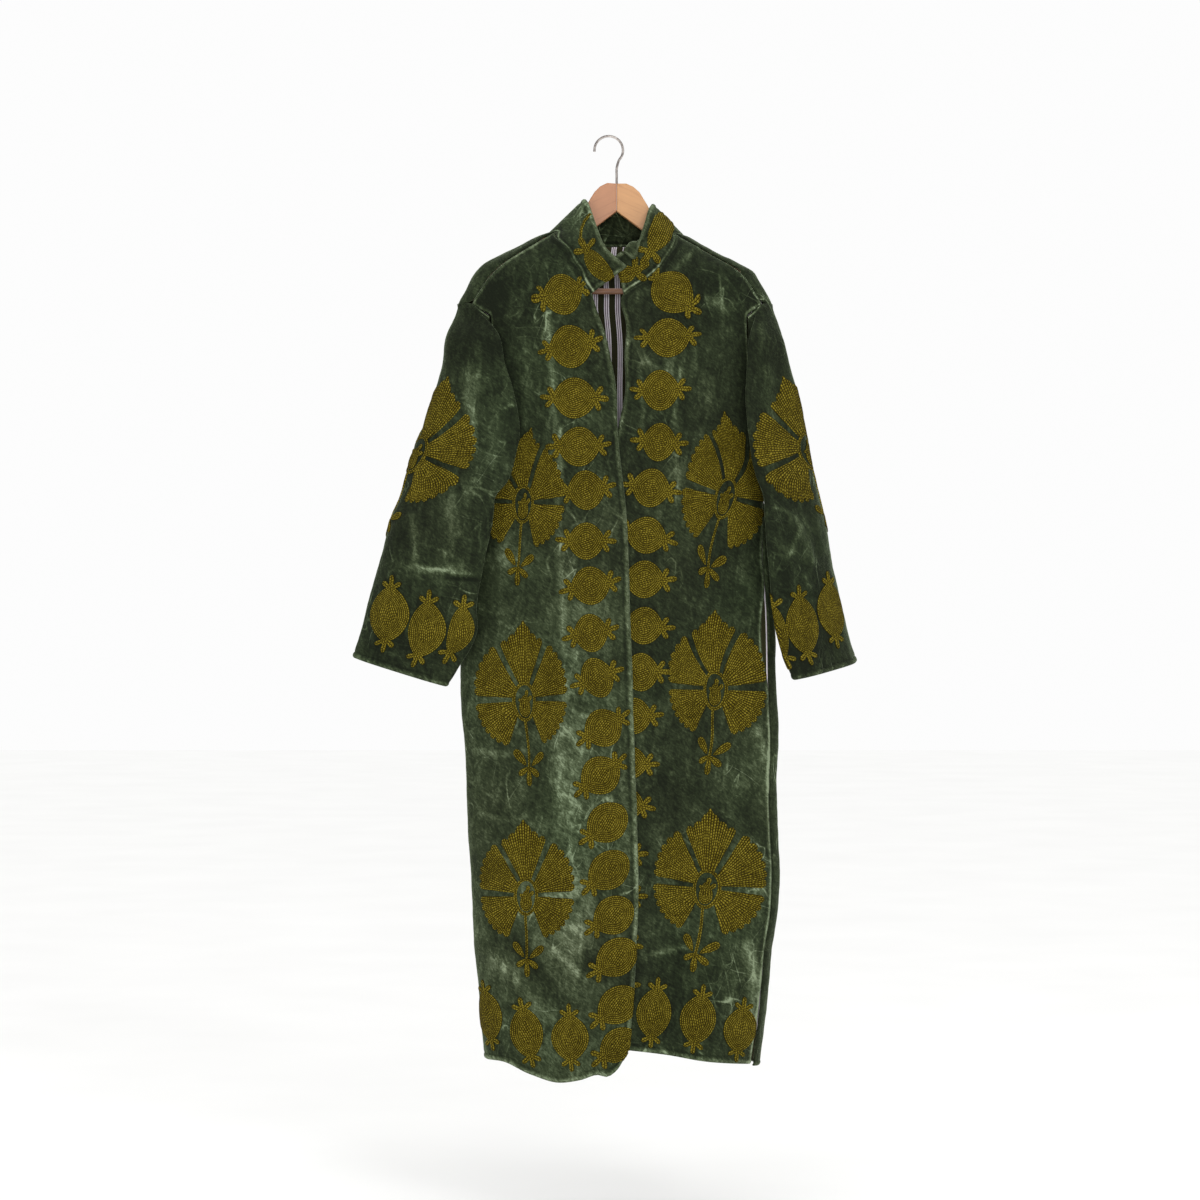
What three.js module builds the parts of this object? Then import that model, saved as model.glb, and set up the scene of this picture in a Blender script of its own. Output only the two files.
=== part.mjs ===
// A velvet long coat with raised embroidery, hung on a wooden hanger.
// Millimetres. +X runs to the right, +Y away from the front, +Z up.
// The origin is the inside top of the hook, where a rail holds the hanger.
import * as THREE from "three";

// Cloth.
const clothThickness = 2.2;
const liningThickness = 1.2;
const lapSteps = { left: 2.8, right: 2.6 }; // between the middles of a panel and the sleeve sewn on it
const liningDepth = 2;
const frontLap = 5; // between the middles of the two fronts where one laps over the other
const seamGap = 0.5;
const edgeBend = 7;
const sideRounding = 2.6; // 2 gives an ellipse, more gives flatter fronts and fuller sides

// Hanger.
const armThickness = 13;
const armBevel = 1.5;
const hangerMiddle = 10;
const armJointGap = 0.3;
const barRadius = 4.5;
const barHeight = -231;
const hookRadius = 21.5; // to the middle of the wire
const wireRadius = 1.85;
const hookMiddle = -2;

// Rows of numbers become rows of named values.
function table(columns, rows) {
  return rows.map((row) => Object.fromEntries(columns.map((name, i) => [name, row[i]])));
}

const lerp = THREE.MathUtils.lerp;
const clamp = THREE.MathUtils.clamp;
const smoothstep = THREE.MathUtils.smoothstep;

// A column's value between two rows of a table that runs from high to low.
function valueAt(rows, column, z) {
  const last = rows.length - 1;
  const below = clamp(rows.findIndex((row) => row.z <= z), 1, last);
  const at = z <= rows[last].z ? last : below;
  const high = rows[at - 1];
  const low = rows[at];
  const share = clamp((high.z - z) / (high.z - low.z), 0, 1);
  return lerp(high[column], low[column], share);
}

// The coat's hanging form: how far it reaches to each side, to the front and to the back.
const bodySections = table(
  ["z", "left", "right", "front", "back"],
  [
    [-126, -56, 80, 22, 26],
    [-138, -77, 97, 28, 32],
    [-151, -111, 119, 34, 38],
    [-164, -137, 141, 38, 41],
    [-178, -164, 167, 40, 43],
    [-190, -188, 192, 42, 44],
    [-200, -199, 212, 43, 45],
    [-212, -207, 221, 44, 46],
    [-233, -217.5, 233, 45, 47],
    [-251, -227, 242, 45, 47],
    [-300, -217, 239, 45, 47],
    [-380, -208, 230, 43, 46],
    [-505, -203, 226, 40, 44],
    [-600, -210, 236, 39, 45],
    [-700, -220, 245, 40, 48],
    [-842, -222.5, 249, 43, 52],
    [-900, -218, 252, 45, 54],
    [-960, -214, 249, 47, 56],
    [-1040, -212.5, 251, 50, 60],
    [-1114, -207, 253.5, 53, 64],
    [-1170, -205, 250, 55, 67],
    [-1215, -202, 242, 57, 69],
    [-1260, -198, 237.5, 58, 71],
    [-1320, -193, 232, 60, 74],
    [-1370, -188, 226, 62, 76],
    [-1410, -183, 221, 63, 78],
  ],
);

// Long soft folds, from their upper to their lower end. A negative height is a trough.
const foldColumns = ["upperX", "upperZ", "lowerX", "lowerZ", "width", "height"];
const frontFolds = table(foldColumns, [
  [-97, -200, -66, -860, 18, 5],
  [-70, -860, -76, -1120, 20, 4],
  [-150, -560, -146, -1380, 30, 6],
  [-112, -700, -108, -1400, 24, -5],
  [104, -230, 92, -640, 20, 4],
  [152, -560, 140, -1380, 32, 7],
  [92, -740, 84, -1380, 28, -6],
  [-30, -900, -28, -1400, 26, 5],
]);
const backFolds = table(foldColumns, [
  [-120, -270, -132, -1380, 30, 8],
  [-52, -230, -62, -1380, 28, -7],
  [14, -420, 8, -1380, 32, 9],
  [84, -230, 92, -1380, 28, -7],
  [152, -280, 166, -1380, 30, 8],
]);

function foldDepth(folds, x, z) {
  return folds.reduce((sum, fold) => {
    const along = (fold.upperZ - z) / (fold.upperZ - fold.lowerZ);
    const across = (x - lerp(fold.upperX, fold.lowerX, clamp(along, 0, 1))) / fold.width;
    const ends = smoothstep(along, 0, 0.25) * (1 - smoothstep(along, 0.92, 1.25));
    return sum + fold.height * ends * Math.exp(-across * across);
  }, 0);
}

// The turn round the coat at which its surface has this x: 0 is the front, a quarter turn the side.
function turnAt(x, z, onBack = false) {
  const left = valueAt(bodySections, "left", z);
  const right = valueAt(bodySections, "right", z);
  const share = clamp((2 * x - left - right) / (right - left), -1, 1);
  return onBack ? -Math.PI - Math.asin(share) : Math.asin(share);
}

// A point of the coat's surface, at a turn round it and a height, moved outwards by step.
function bodyPoint(turn, z, step = 0) {
  const left = valueAt(bodySections, "left", z) - step;
  const right = valueAt(bodySections, "right", z) + step;
  const share = Math.sin(turn);
  const x = lerp(left, right, (share + 1) / 2);
  const profile = Math.sqrt(Math.max(0, 1 - Math.abs(share) ** sideRounding));
  const onFront = Math.cos(turn) >= 0;
  const depth = valueAt(bodySections, onFront ? "front" : "back", z) + step;
  const fold = foldDepth(onFront ? frontFolds : backFolds, x, z);
  const out = (depth + fold) * profile;
  return new THREE.Vector3(x, onFront ? -out : out, z);
}

// Cloth: a grid of points, row by row from the top and each from left to right, given thickness.
function gridNormals(grid) {
  const rows = grid.length;
  const columns = grid[0].length;
  return grid.map((row, i) =>
    row.map((point, j) => {
      const across = row[Math.min(j + 1, columns - 1)].clone().sub(row[Math.max(j - 1, 0)]);
      const above = grid[Math.max(i - 1, 0)][j];
      const down = grid[Math.min(i + 1, rows - 1)][j].clone().sub(above);
      return across.cross(down).normalize();
    }),
  );
}

function offsetGrid(grid, distance) {
  const normals = gridNormals(grid);
  return grid.map((row, i) =>
    row.map((point, j) => point.clone().addScaledVector(normals[i][j], distance)),
  );
}

function wall(name, grid, thickness, material) {
  const rows = grid.length;
  const columns = grid[0].length;
  const inner = offsetGrid(grid, thickness / 2).flat();
  const outer = offsetGrid(grid, -thickness / 2).flat();
  const positions = [...inner, ...outer].flatMap((point) => point.toArray());
  const index = [];
  const half = rows * columns;
  const quad = (a, b, c, d) => index.push(a, b, c, a, c, d);
  for (let i = 0; i < rows - 1; i++) {
    for (let j = 0; j < columns - 1; j++) {
      const a = i * columns + j;
      const d = a + columns;
      quad(a, a + 1, d + 1, d);
      quad(half + a, half + d, half + d + 1, half + a + 1);
    }
  }
  const rim = (a, b) => quad(half + a, half + b, b, a);
  const bottom = (rows - 1) * columns;
  for (let j = 0; j < columns - 1; j++) {
    rim(j, j + 1);
    rim(bottom + j + 1, bottom + j);
  }
  for (let i = 0; i < rows - 1; i++) {
    rim((i + 1) * columns, i * columns);
    rim(i * columns + columns - 1, (i + 1) * columns + columns - 1);
  }
  const geometry = new THREE.BufferGeometry();
  geometry.setAttribute("position", new THREE.Float32BufferAttribute(positions, 3));
  geometry.setIndex(index);
  return named(name, geometry, material);
}

function named(name, geometry, material) {
  const mesh = new THREE.Mesh(geometry, material);
  mesh.name = name;
  return mesh;
}

// Where the hem lies, from left to right. The right front and the back are cut a little shorter.
const leftHem = table(
  ["x", "z"],
  [
    [-186, -1380],
    [-160, -1380],
    [-121, -1397],
    [-82, -1408],
    [-45, -1403],
    [-18, -1395],
    [-4, -1398],
    [10, -1388],
    [26, -1361],
  ],
);
const rightHem = table(
  ["x", "z"],
  [
    [-16, -1357],
    [26, -1360],
    [81, -1367],
    [157, -1379],
    [218, -1386],
  ],
);
const backHem = table(
  ["x", "z"],
  [
    [-190, -1376],
    [-60, -1366],
    [60, -1368],
    [224, -1390],
  ],
);

function hemAt(hem, x) {
  const at = clamp(hem.findIndex((point) => point.x >= x), 1, hem.length - 1);
  const right = x > hem[hem.length - 1].x ? hem.length - 1 : at;
  const share = clamp((x - hem[right - 1].x) / (hem[right].x - hem[right - 1].x), 0, 1);
  return lerp(hem[right - 1].z, hem[right].z, share);
}

// The turn at a share of the way across. A row with sides of its own keeps to them in its middle,
// and bends to its ends only near its edges.
function turnAcross(row, share) {
  if (!row.sides) {
    return lerp(row.leftTurn, row.rightTurn, share);
  }
  const leftBend = (row.leftTurn - row.sides[0]) * (1 - share) ** edgeBend;
  const rightBend = (row.rightTurn - row.sides[1]) * share ** edgeBend;
  return lerp(row.sides[0], row.sides[1], share) + leftBend + rightBend;
}

// A panel between its two long edges. Each row gives the place of its ends and how far it follows the hem.
function panelGrid(ends, columns, hem, step) {
  return ends.map((row) => {
    if (row.seam) {
      return row.seam.getPoints(columns).map((point) => bodyPoint(turnAt(point.x, point.y), point.y));
    }
    const points = [];
    for (let j = 0; j <= columns; j++) {
      const share = j / columns;
      const turn = turnAcross(row, share);
      const level = lerp(row.leftZ, row.rightZ, share) - (row.dip ?? 0) * Math.sin(Math.PI * share);
      const x = bodyPoint(turn, level).x;
      const z = lerp(level, hemAt(hem, x), row.hemShare);
      points.push(bodyPoint(turn, z, step(x, z)));
    }
    return points;
  });
}

// Heights of the rows below the armholes, the same on every panel.
const lowerLevels = [
  -560, -620, -676, -720, -770, -821, -880, -940, -1000, -1060, -1120, -1180, -1240, -1300,
];
const hemShares = [0.5, 1];
const hemLevels = [-1345, -1380];

// The armholes: where each panel's edge runs, from the shoulder seam to the underarm.
const armholeColumns = ["frontX", "z", "backX"];
const leftArmhole = table(armholeColumns, [
  [-206, -252, -222],
  [-191, -262, -212],
  [-178, -271, -203],
  [-177, -300, -198],
  [-178, -340, -195],
  [-181, -390, -194],
  [-187, -440, -195],
  [-196, -485, -199],
  [-203, -505, -203],
]);
const rightArmhole = table(armholeColumns, [
  [226, -252, 237],
  [214, -262, 228],
  [204, -271, 221],
  [204, -300, 217],
  [206, -340, 215],
  [209, -390, 215],
  [214, -440, 217],
  [222, -485, 222],
  [226, -505, 226],
]);

// The inner edge of each front: the neck seam, then the front opening.
const leftOpening = table(
  ["x", "z"],
  [
    [-80, -148],
    [-67, -166],
    [-52.5, -192],
    [-40, -219],
    [-28.5, -238],
    [-15, -278],
    [-1.5, -326],
    [9, -388],
    [10.5, -442],
    [22, -550],
    [26, -620],
    [28, -676],
    [29, -720],
    [31, -770],
    [33, -821],
    [34, -880],
    [36, -940],
    [38.5, -1000],
    [40, -1060],
    [41, -1120],
    [39.5, -1180],
    [36.5, -1240],
    [32, -1300],
    [28, -1340],
    [26, -1361],
  ],
);
const rightOpening = table(
  ["x", "z"],
  [
    [98, -154],
    [89, -177],
    [76, -198],
    [58, -216],
    [20.5, -240],
    [24.5, -284],
    [22.5, -330],
    [23, -388],
    [12, -442],
    [4, -550],
    [2, -620],
    [0, -676],
    [-2, -720],
    [-4, -770],
    [-6, -821],
    [-8, -880],
    [-9, -940],
    [-10, -1000],
    [-11, -1060],
    [-12, -1120],
    [-13, -1180],
    [-14, -1240],
    [-15, -1300],
    [-15, -1340],
    [-15, -1357],
  ],
);

// The side seams, as turns past the side: the coat hangs turned a little, so both lie to one side.
const quarter = Math.PI / 2;
const leftSeamTurn = -quarter - 0.17;
const rightSeamTurn = quarter - 0.32;
const pocket = { top: -676, bottom: -821, opening: 0.1, facingDepth: 4.1, facingOverlap: 12 };
const ventTop = -1225;
const ventOpening = 0.05;

function leftSeamAt(z) {
  return lerp(-quarter, leftSeamTurn, smoothstep(-z, 505, 640));
}

function rightSeamAt(z) {
  return lerp(quarter, rightSeamTurn, smoothstep(-z, 505, 640));
}

// A side seam's two edges stand apart by the seam gap, more at the pocket and the vent.
function seamTurnGap(z) {
  return seamGap / 60 + 0.006 * smoothstep(-z, 500, 520);
}

function pocketOpening(z) {
  const share = (pocket.top - z) / (pocket.top - pocket.bottom);
  const inPocket = share > 0 && share < 1 ? Math.sin(Math.PI * share) : 0;
  const inVent = smoothstep(-z, -ventTop, 1380);
  return pocket.opening * inPocket + ventOpening * inVent;
}

// The left front laps over the right one below the throat.
function lapShare(z) {
  return smoothstep(-z, 300, 430);
}

function leftLap(x, z) {
  return (frontLap / 2) * smoothstep(x, -75, -25) * lapShare(z);
}

function rightLap(x, z) {
  return (-frontLap / 2) * (1 - smoothstep(x, 50, 100)) * lapShare(z);
}

function lowerRows() {
  const plain = lowerLevels.map((z) => ({ z, hemShare: 0 }));
  return [...plain, ...hemLevels.map((z, i) => ({ z, hemShare: hemShares[i] }))];
}

function leftFrontRows() {
  const end = { leftX: leftArmhole[0].frontX, leftZ: leftArmhole[0].z };
  const seam = frontShoulderSeam("leftX", "leftZ", end);
  seam.points.reverse();
  const upper = leftArmhole.map((edge, i) => ({
    seam: i === 0 ? seam : null,
    leftTurn: i === leftArmhole.length - 1 ? -quarter + 0.02 : turnAt(edge.frontX, edge.z),
    leftZ: edge.z,
    rightTurn: turnAt(leftOpening[i].x, leftOpening[i].z),
    rightZ: leftOpening[i].z,
    hemShare: 0,
  }));
  const lower = lowerRows().map(({ z, hemShare }, k) => {
    const edge = leftOpening[Math.min(leftArmhole.length + k, leftOpening.length - 1)];
    return {
      leftTurn: leftSeamAt(z) + seamTurnGap(z),
      leftZ: z,
      rightTurn: turnAt(edge.x, edge.z),
      rightZ: edge.z,
      hemShare,
    };
  });
  return [...upper, ...lower];
}

function rightFrontRows() {
  const end = { rightX: rightArmhole[0].frontX, rightZ: rightArmhole[0].z };
  const upper = rightArmhole.map((edge, i) => ({
    seam: i === 0 ? frontShoulderSeam("rightX", "rightZ", end) : null,
    leftTurn: turnAt(rightOpening[i].x, rightOpening[i].z),
    leftZ: rightOpening[i].z,
    rightTurn: i === rightArmhole.length - 1 ? quarter - 0.02 : turnAt(edge.frontX, edge.z),
    rightZ: edge.z,
    hemShare: 0,
  }));
  const lower = lowerRows().map(({ z, hemShare }, k) => {
    const edge = rightOpening[Math.min(rightArmhole.length + k, rightOpening.length - 1)];
    return {
      leftTurn: turnAt(edge.x, edge.z),
      leftZ: edge.z,
      rightTurn: rightSeamAt(z) - seamTurnGap(z) - pocketOpening(z),
      rightZ: z,
      hemShare,
    };
  });
  return [...upper, ...lower];
}

// The back comes over the shoulder to a forward seam, then follows the armholes and the side seams.
const shoulderSeam = table(
  ["leftX", "leftZ", "rightX", "rightZ", "dip"],
  [
    [-79, -143.5, 97, -147.5, 17],
    [-108, -160, 122, -162, 18],
    [-135, -176, 147, -177, 14],
    [-160, -193, 172, -191, 10],
    [-181, -213, 197, -208, 6],
    [-197, -236, 214, -231, 3],
  ],
);
const seamLift = 2.6; // the back's edge lies this far above the front's at the forward seam
const shoulderTip = { leftX: -208, rightX: 227, lift: 4.6 };

function frontShoulderSeam(xColumn, zColumn, end) {
  const points = [...shoulderSeam, end].map((row) => new THREE.Vector2(row[xColumn], row[zColumn]));
  return new THREE.SplineCurve(points);
}

function backRows() {
  const shoulder = shoulderSeam.map((row) => ({
    leftTurn: turnAt(row.leftX, row.leftZ + seamLift),
    leftZ: row.leftZ + seamLift,
    rightTurn: turnAt(row.rightX, row.rightZ + seamLift) - 2 * Math.PI,
    rightZ: row.rightZ + seamLift,
    dip: row.dip,
    hemShare: 0,
  }));
  const tipZ = leftArmhole[0].z + shoulderTip.lift;
  const tip = {
    leftTurn: turnAt(shoulderTip.leftX, tipZ),
    leftZ: tipZ,
    rightTurn: turnAt(shoulderTip.rightX, tipZ) - 2 * Math.PI,
    rightZ: tipZ,
    hemShare: 0,
  };
  const armhole = leftArmhole.slice(1).map((left, i) => ({
    leftTurn: turnAt(left.backX, left.z, true),
    leftZ: left.z,
    rightTurn: turnAt(rightArmhole[i + 1].backX, rightArmhole[i + 1].z, true),
    rightZ: rightArmhole[i + 1].z,
    hemShare: 0,
  }));
  const lower = lowerRows().map(({ z, hemShare }) => ({
    leftTurn: leftSeamAt(z) - seamTurnGap(z),
    leftZ: z,
    rightTurn: rightSeamAt(z) + seamTurnGap(z) - 2 * Math.PI,
    rightZ: z,
    hemShare,
  }));
  const sides = [-quarter, quarter - 2 * Math.PI];
  return [...shoulder, tip, ...armhole, ...lower].map((row) => ({ ...row, sides }));
}

// Sleeves: each row gives the sleeve's outer and inner edge and how full it hangs there.
// The first rows open onto the armhole, the others close along a seam behind the inner edge.
const sleeveColumns = ["outX", "outZ", "outY", "outFull", "inX", "inZ", "inY", "inFull"];
const leftSleeve = table(sleeveColumns, [
  [-245, -303, -2, 18, -167, -300, -45, 6],
  [-250, -340, -3, 20, -157, -342, -50, 7],
  [-264, -390, -4, 22, -143, -388, -54, 8],
  [-281, -440, -5, 22, -134.5, -446, -57, 9],
  [-298, -484, -6, 22, -141, -482, -57, 10],
  [-306, -512, -6, 22, -149, -510, -57, 11],
  [-325, -570, -7, 22, -174, -566, -56, 12],
  [-345, -640, -8, 21, -190, -650, -54, 13],
  [-361, -697, -9, 20, -199, -706, -52, 13],
  [-371, -738, -10, 19, -199, -744, -50, 13],
  [-378, -762, -10, 18, -218, -780, -48, 12],
  [-384, -779, -10, 17, -243, -822, -46, 12],
]);
const rightSleeve = table(sleeveColumns, [
  [255, -300, 3, 18, 209, -300, -44, 6],
  [266, -340, 8, 20, 205, -342, -48, 7],
  [281, -390, 16, 23, 202, -392, -51, 8],
  [291, -440, 24, 24, 206, -442, -53, 9],
  [300, -484, 30, 24, 212, -484, -53, 10],
  [307, -512, 34, 24, 218, -510, -53, 11],
  [319, -570, 39, 24, 231, -572, -52, 12],
  [333, -640, 42, 23, 237, -644, -51, 13],
  [346, -695, 43, 22, 243, -702, -50, 13],
  [357, -738, 43, 21, 250, -744, -49, 13],
  [365, -768, 43, 20, 259, -778, -48, 12],
  [371.5, -786, 43, 19, 273, -812, -47, 12],
]);

const sleeveColumnsAcross = 24;
const underarmRow = 5;
const sleeveSeamShare = 0.22; // how far behind the inner edge the long seam lies
const sleeveSeamGap = 1.2;
const underarmEase = 1.5;

// A point of a sleeve row: share 0 is the inner edge, 1 the outer, and side -1 the front, 1 the back.
function sleevePoint(row, share, side) {
  const fullness = lerp(row.inFull, row.outFull, share) * Math.sqrt(1 - Math.abs(2 * share - 1) ** 2.4);
  const acrossX = row.outX - row.inX;
  const acrossY = row.outY - row.inY;
  const length = Math.hypot(acrossX, acrossY);
  const facing = Math.sign(acrossX);
  return new THREE.Vector3(
    lerp(row.inX, row.outX, share) - (side * facing * fullness * acrossY) / length,
    lerp(row.inY, row.outY, share) + (side * facing * fullness * acrossX) / length,
    lerp(row.inZ, row.outZ, share),
  );
}

function sleeveRow(row, frontSeam, backSeam, overPanel = []) {
  const seam = sleevePoint(row, sleeveSeamShare, 1);
  const back = backSeam ?? seam.clone().add(new THREE.Vector3(Math.sign(row.outX) * sleeveSeamGap, 0, 0));
  const front = frontSeam ?? seam;
  const outer = new THREE.Vector3(row.outX, row.outY, row.outZ);
  const backMiddle = backSeam
    ? back.clone().lerp(outer, 0.5).add(new THREE.Vector3(0, 5, 0))
    : sleevePoint(row, 0.55, 1);
  const backOuter = backSeam
    ? back.clone().lerp(outer, 0.86).add(new THREE.Vector3(0, 5, 0))
    : sleevePoint(row, 0.87, 1);
  const fold = new THREE.Vector3(row.inX, row.inY, row.inZ);
  const behindFold = sleevePoint(row, 0.07, 1);
  const through = [
    back,
    backMiddle,
    backOuter,
    outer,
    sleevePoint(row, 0.87, -1),
    sleevePoint(row, 0.5, -1),
    sleevePoint(row, 0.13, -1),
    fold,
    behindFold,
    ...overPanel,
    front,
  ];
  return new THREE.CatmullRomCurve3(through, false, "centripetal").getPoints(sleeveColumnsAcross);
}

// The sleeve head: the seam over the shoulder, on the outside of the panels' edges.
function sleeveHead(armhole, mirror, lapStep) {
  const ridge = armhole[0];
  const side = mirror * quarter;
  const edge = armhole[2];
  const through = [
    bodyPoint(turnAt(edge.backX, edge.z, true), edge.z, lapStep),
    bodyPoint(turnAt(armhole[1].backX, armhole[1].z, true), armhole[1].z, lapStep),
    bodyPoint(turnAt(ridge.backX, ridge.z, true), ridge.z, lapStep),
    bodyPoint(side, ridge.z + 1, lapStep),
    bodyPoint(turnAt(ridge.frontX, ridge.z), ridge.z, lapStep),
    bodyPoint(turnAt(armhole[1].frontX, armhole[1].z), armhole[1].z, lapStep),
    bodyPoint(turnAt(edge.frontX, edge.z), edge.z, lapStep),
  ];
  return new THREE.CatmullRomCurve3(through, false, "centripetal").getPoints(sleeveColumnsAcross);
}

function sleeveGrid(rows, armhole, mirror, lapStep) {
  const armholeRows = armhole.slice(3);
  const rings = rows.map((row, i) => {
    if (i > underarmRow) {
      return sleeveRow(row);
    }
    const edge = armholeRows[i];
    const z = edge.z - (i === underarmRow ? 2 : 0);
    const frontTurn = i === underarmRow ? mirror * (quarter - 0.05) : turnAt(edge.frontX, z);
    const backTurn = i === underarmRow ? mirror * (quarter + 0.05) : turnAt(edge.backX, z, true);
    const foldTurn = turnAt(row.inX, z);
    const overPanel = [
      bodyPoint(lerp(foldTurn, frontTurn, 0.35), z, lapStep + 4),
      bodyPoint(lerp(foldTurn, frontTurn, 0.7), z, lapStep + 2.5),
    ];
    const frontStep = lapStep + (i >= underarmRow - 1 ? underarmEase : 0);
    return sleeveRow(row, bodyPoint(frontTurn, z, frontStep), bodyPoint(backTurn, z, lapStep), overPanel);
  });
  const grid = [sleeveHead(armhole, mirror, lapStep), ...rings];
  return mirror < 0 ? grid : grid.map((row) => row.slice().reverse());
}

// The stand collar, from its left front end round the back to its right front end.
// Its lower edge stands on the neck edges of the panels. Each row of the table gives a place on
// its upper edge, as a share of the collar's length, and the flap is turned down over the front.
const collarTops = table(
  ["share", "x", "y", "z", "flap"],
  [
    [0, 24.5, -61, -200, 0],
    [0.06, 7, -58, -186, 0],
    [0.12, -8, -48, -169, 0],
    [0.19, -19.5, -34, -141, 0],
    [0.235, -33.5, -15, -100, 0],
    [0.26, -38, 0, -93, 0],
    [0.285, -33, 14, -97, 0],
    [0.33, -22, 23, -102, 0],
    [0.41, -6, 30, -105, 0],
    [0.49, 12, 32, -106, 0],
    [0.57, 30, 30, -108, 0],
    [0.65, 47, 23, -108, 0],
    [0.69, 60, 14, -104, 0],
    [0.715, 64, 0, -100, 0],
    [0.74, 60, -15, -107, 0],
    [0.81, 51, -32, -136, 0],
    [0.87, 41.5, -40, -160, 6],
    [0.92, 30, -43, -166, 22],
    [0.96, 19, -45, -175, 4],
    [1, 8, -46, -184, 0],
  ],
);
const collarLift = 2.2; // between the panels' neck edge and the collar's lower edge
const collarShares = [0, 0.3, 0.6, 0.88, 1];
const flapForward = 7;
const neckRows = 5; // rows of the fronts that lie along the neck

function collarTopAt(share) {
  const at = clamp(collarTops.findIndex((row) => row.share >= share), 1, collarTops.length - 1);
  const before = collarTops[at - 1];
  const after = collarTops[at];
  const part = clamp((share - before.share) / (after.share - before.share), 0, 1);
  const place = ["x", "y", "z"].map((axis) => lerp(before[axis], after[axis], part));
  return { top: new THREE.Vector3(...place), flap: lerp(before.flap, after.flap, part) };
}

function neckEdge() {
  const left = frontLeftGrid.slice(1, neckRows).reverse();
  const right = frontRightGrid.slice(1, neckRows);
  return [
    ...left.map((row) => row[frontColumns]),
    ...backGrid[0].filter((point, j) => j % 2 === 0),
    ...right.map((row) => row[0]),
  ];
}

function collarGrid() {
  const lows = neckEdge().map((point) => point.clone().add(new THREE.Vector3(0, 0, collarLift)));
  const lengths = lows.map((point, i) => (i === 0 ? 0 : point.distanceTo(lows[i - 1])));
  const whole = lengths.reduce((sum, length) => sum + length, 0);
  let travelled = 0;
  const stations = lows.map((low, i) => {
    travelled += lengths[i];
    const { top, flap } = collarTopAt(travelled / whole);
    const stand = flap > 0 ? 1 / collarShares[3] : 1;
    const points = collarShares.map((share) => low.clone().lerp(top, Math.min(1, share * stand)));
    if (flap > 0) {
      points[4] = top.clone().add(new THREE.Vector3(flap / 4, -flapForward, -flap));
      points[3].y -= flapForward / 3;
    }
    return points;
  });
  return collarShares.map((share, i) => stations.map((points) => points[i])).reverse();
}

// The striped lining of the back, on the inside of its wall, where the open throat shows it.
const liningRows = { first: 0, last: 14 };
const liningColumns = { first: 8, last: 16 };
const backColumns = 24;

function liningGrid(backGrid) {
  const part = backGrid
    .slice(liningRows.first, liningRows.last + 1)
    .map((row) => row.slice(liningColumns.first, liningColumns.last + 1));
  return offsetGrid(part, -liningDepth);
}

// The striped facing behind the pocket slit in the right side seam.
function pocketGrid() {
  const levels = [pocket.top + pocket.facingOverlap, -720, -770, pocket.bottom - pocket.facingOverlap];
  const turns = [-0.3, -0.15, 0, 0.12];
  return levels.map((z) => turns.map((turn) => bodyPoint(rightSeamAt(z) + turn, z, -pocket.facingDepth)));
}

// The hanger's arms follow the shoulders just below the cloth.
const leftArmOutline = [
  [-4, -70.6],
  [-14, -75.5],
  [-22, -83.5],
  [-28, -93],
  [-40, -115],
  [-60, -136],
  [-77, -146],
  [-111, -156],
  [-137, -169],
  [-164, -183],
  [-184, -195],
  [-195, -207],
  [-203, -221],
  [-204, -243],
  [-186, -243],
  [-184, -222],
  [-150, -208],
  [-77, -172],
  [-25, -136],
];
const rightArmOutline = [
  [24, -71.5],
  [34, -76],
  [43, -84],
  [54, -102],
  [64, -121],
  [82, -141],
  [97, -150],
  [124, -160.8],
  [151, -174.8],
  [173, -186.8],
  [193, -196.3],
  [208, -206],
  [219, -221],
  [220, -243],
  [200, -243],
  [198, -222],
  [165, -208],
  [97, -174],
  [45, -136],
];
const apexHeight = -70;
const crotchHeight = -111;

function hangerArm(name, outline, mirror, material) {
  const edge = hangerMiddle + (mirror * armJointGap) / 2 + mirror * armBevel;
  const points = [[edge, apexHeight - armBevel], ...outline, [edge, crotchHeight]];
  const shape = new THREE.Shape(points.map(([x, z]) => new THREE.Vector2(x, z)));
  const geometry = new THREE.ExtrudeGeometry(shape, {
    depth: armThickness - 2 * armBevel,
    bevelThickness: armBevel,
    bevelSize: armBevel,
    bevelOffset: 0,
    bevelSegments: 2,
  });
  geometry.translate(0, 0, -(armThickness - 2 * armBevel) / 2);
  geometry.rotateX(quarter);
  return named(name, geometry, material);
}

function hangerBar(material) {
  const from = -184 + armBevel + armJointGap;
  const to = 198 - armBevel - armJointGap;
  const geometry = new THREE.CylinderGeometry(barRadius, barRadius, to - from, 12);
  geometry.rotateZ(quarter);
  geometry.translate((from + to) / 2, 0, barHeight);
  return named("hanger_bar", geometry, material);
}

function hangerHook(material) {
  const middleZ = wireRadius - hookRadius;
  const bend = [];
  for (let angle = 185; angle >= -45; angle -= 23) {
    const turn = THREE.MathUtils.degToRad(angle);
    const x = hookMiddle + hookRadius * Math.cos(turn);
    bend.push(new THREE.Vector3(x, 0, middleZ + hookRadius * Math.sin(turn)));
  }
  const stem = [
    [hangerMiddle, -47],
    [hangerMiddle, -58],
    [hangerMiddle, apexHeight + armJointGap],
  ];
  const path = new THREE.CatmullRomCurve3([...bend, ...stem.map(([x, z]) => new THREE.Vector3(x, 0, z))]);
  const section = new THREE.Shape().absarc(0, 0, wireRadius, 0, 2 * Math.PI);
  const geometry = new THREE.ExtrudeGeometry(section, {
    steps: 34,
    curveSegments: 4,
    bevelEnabled: false,
    extrudePath: path,
  });
  return named("hanger_hook", geometry, material);
}

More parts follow.
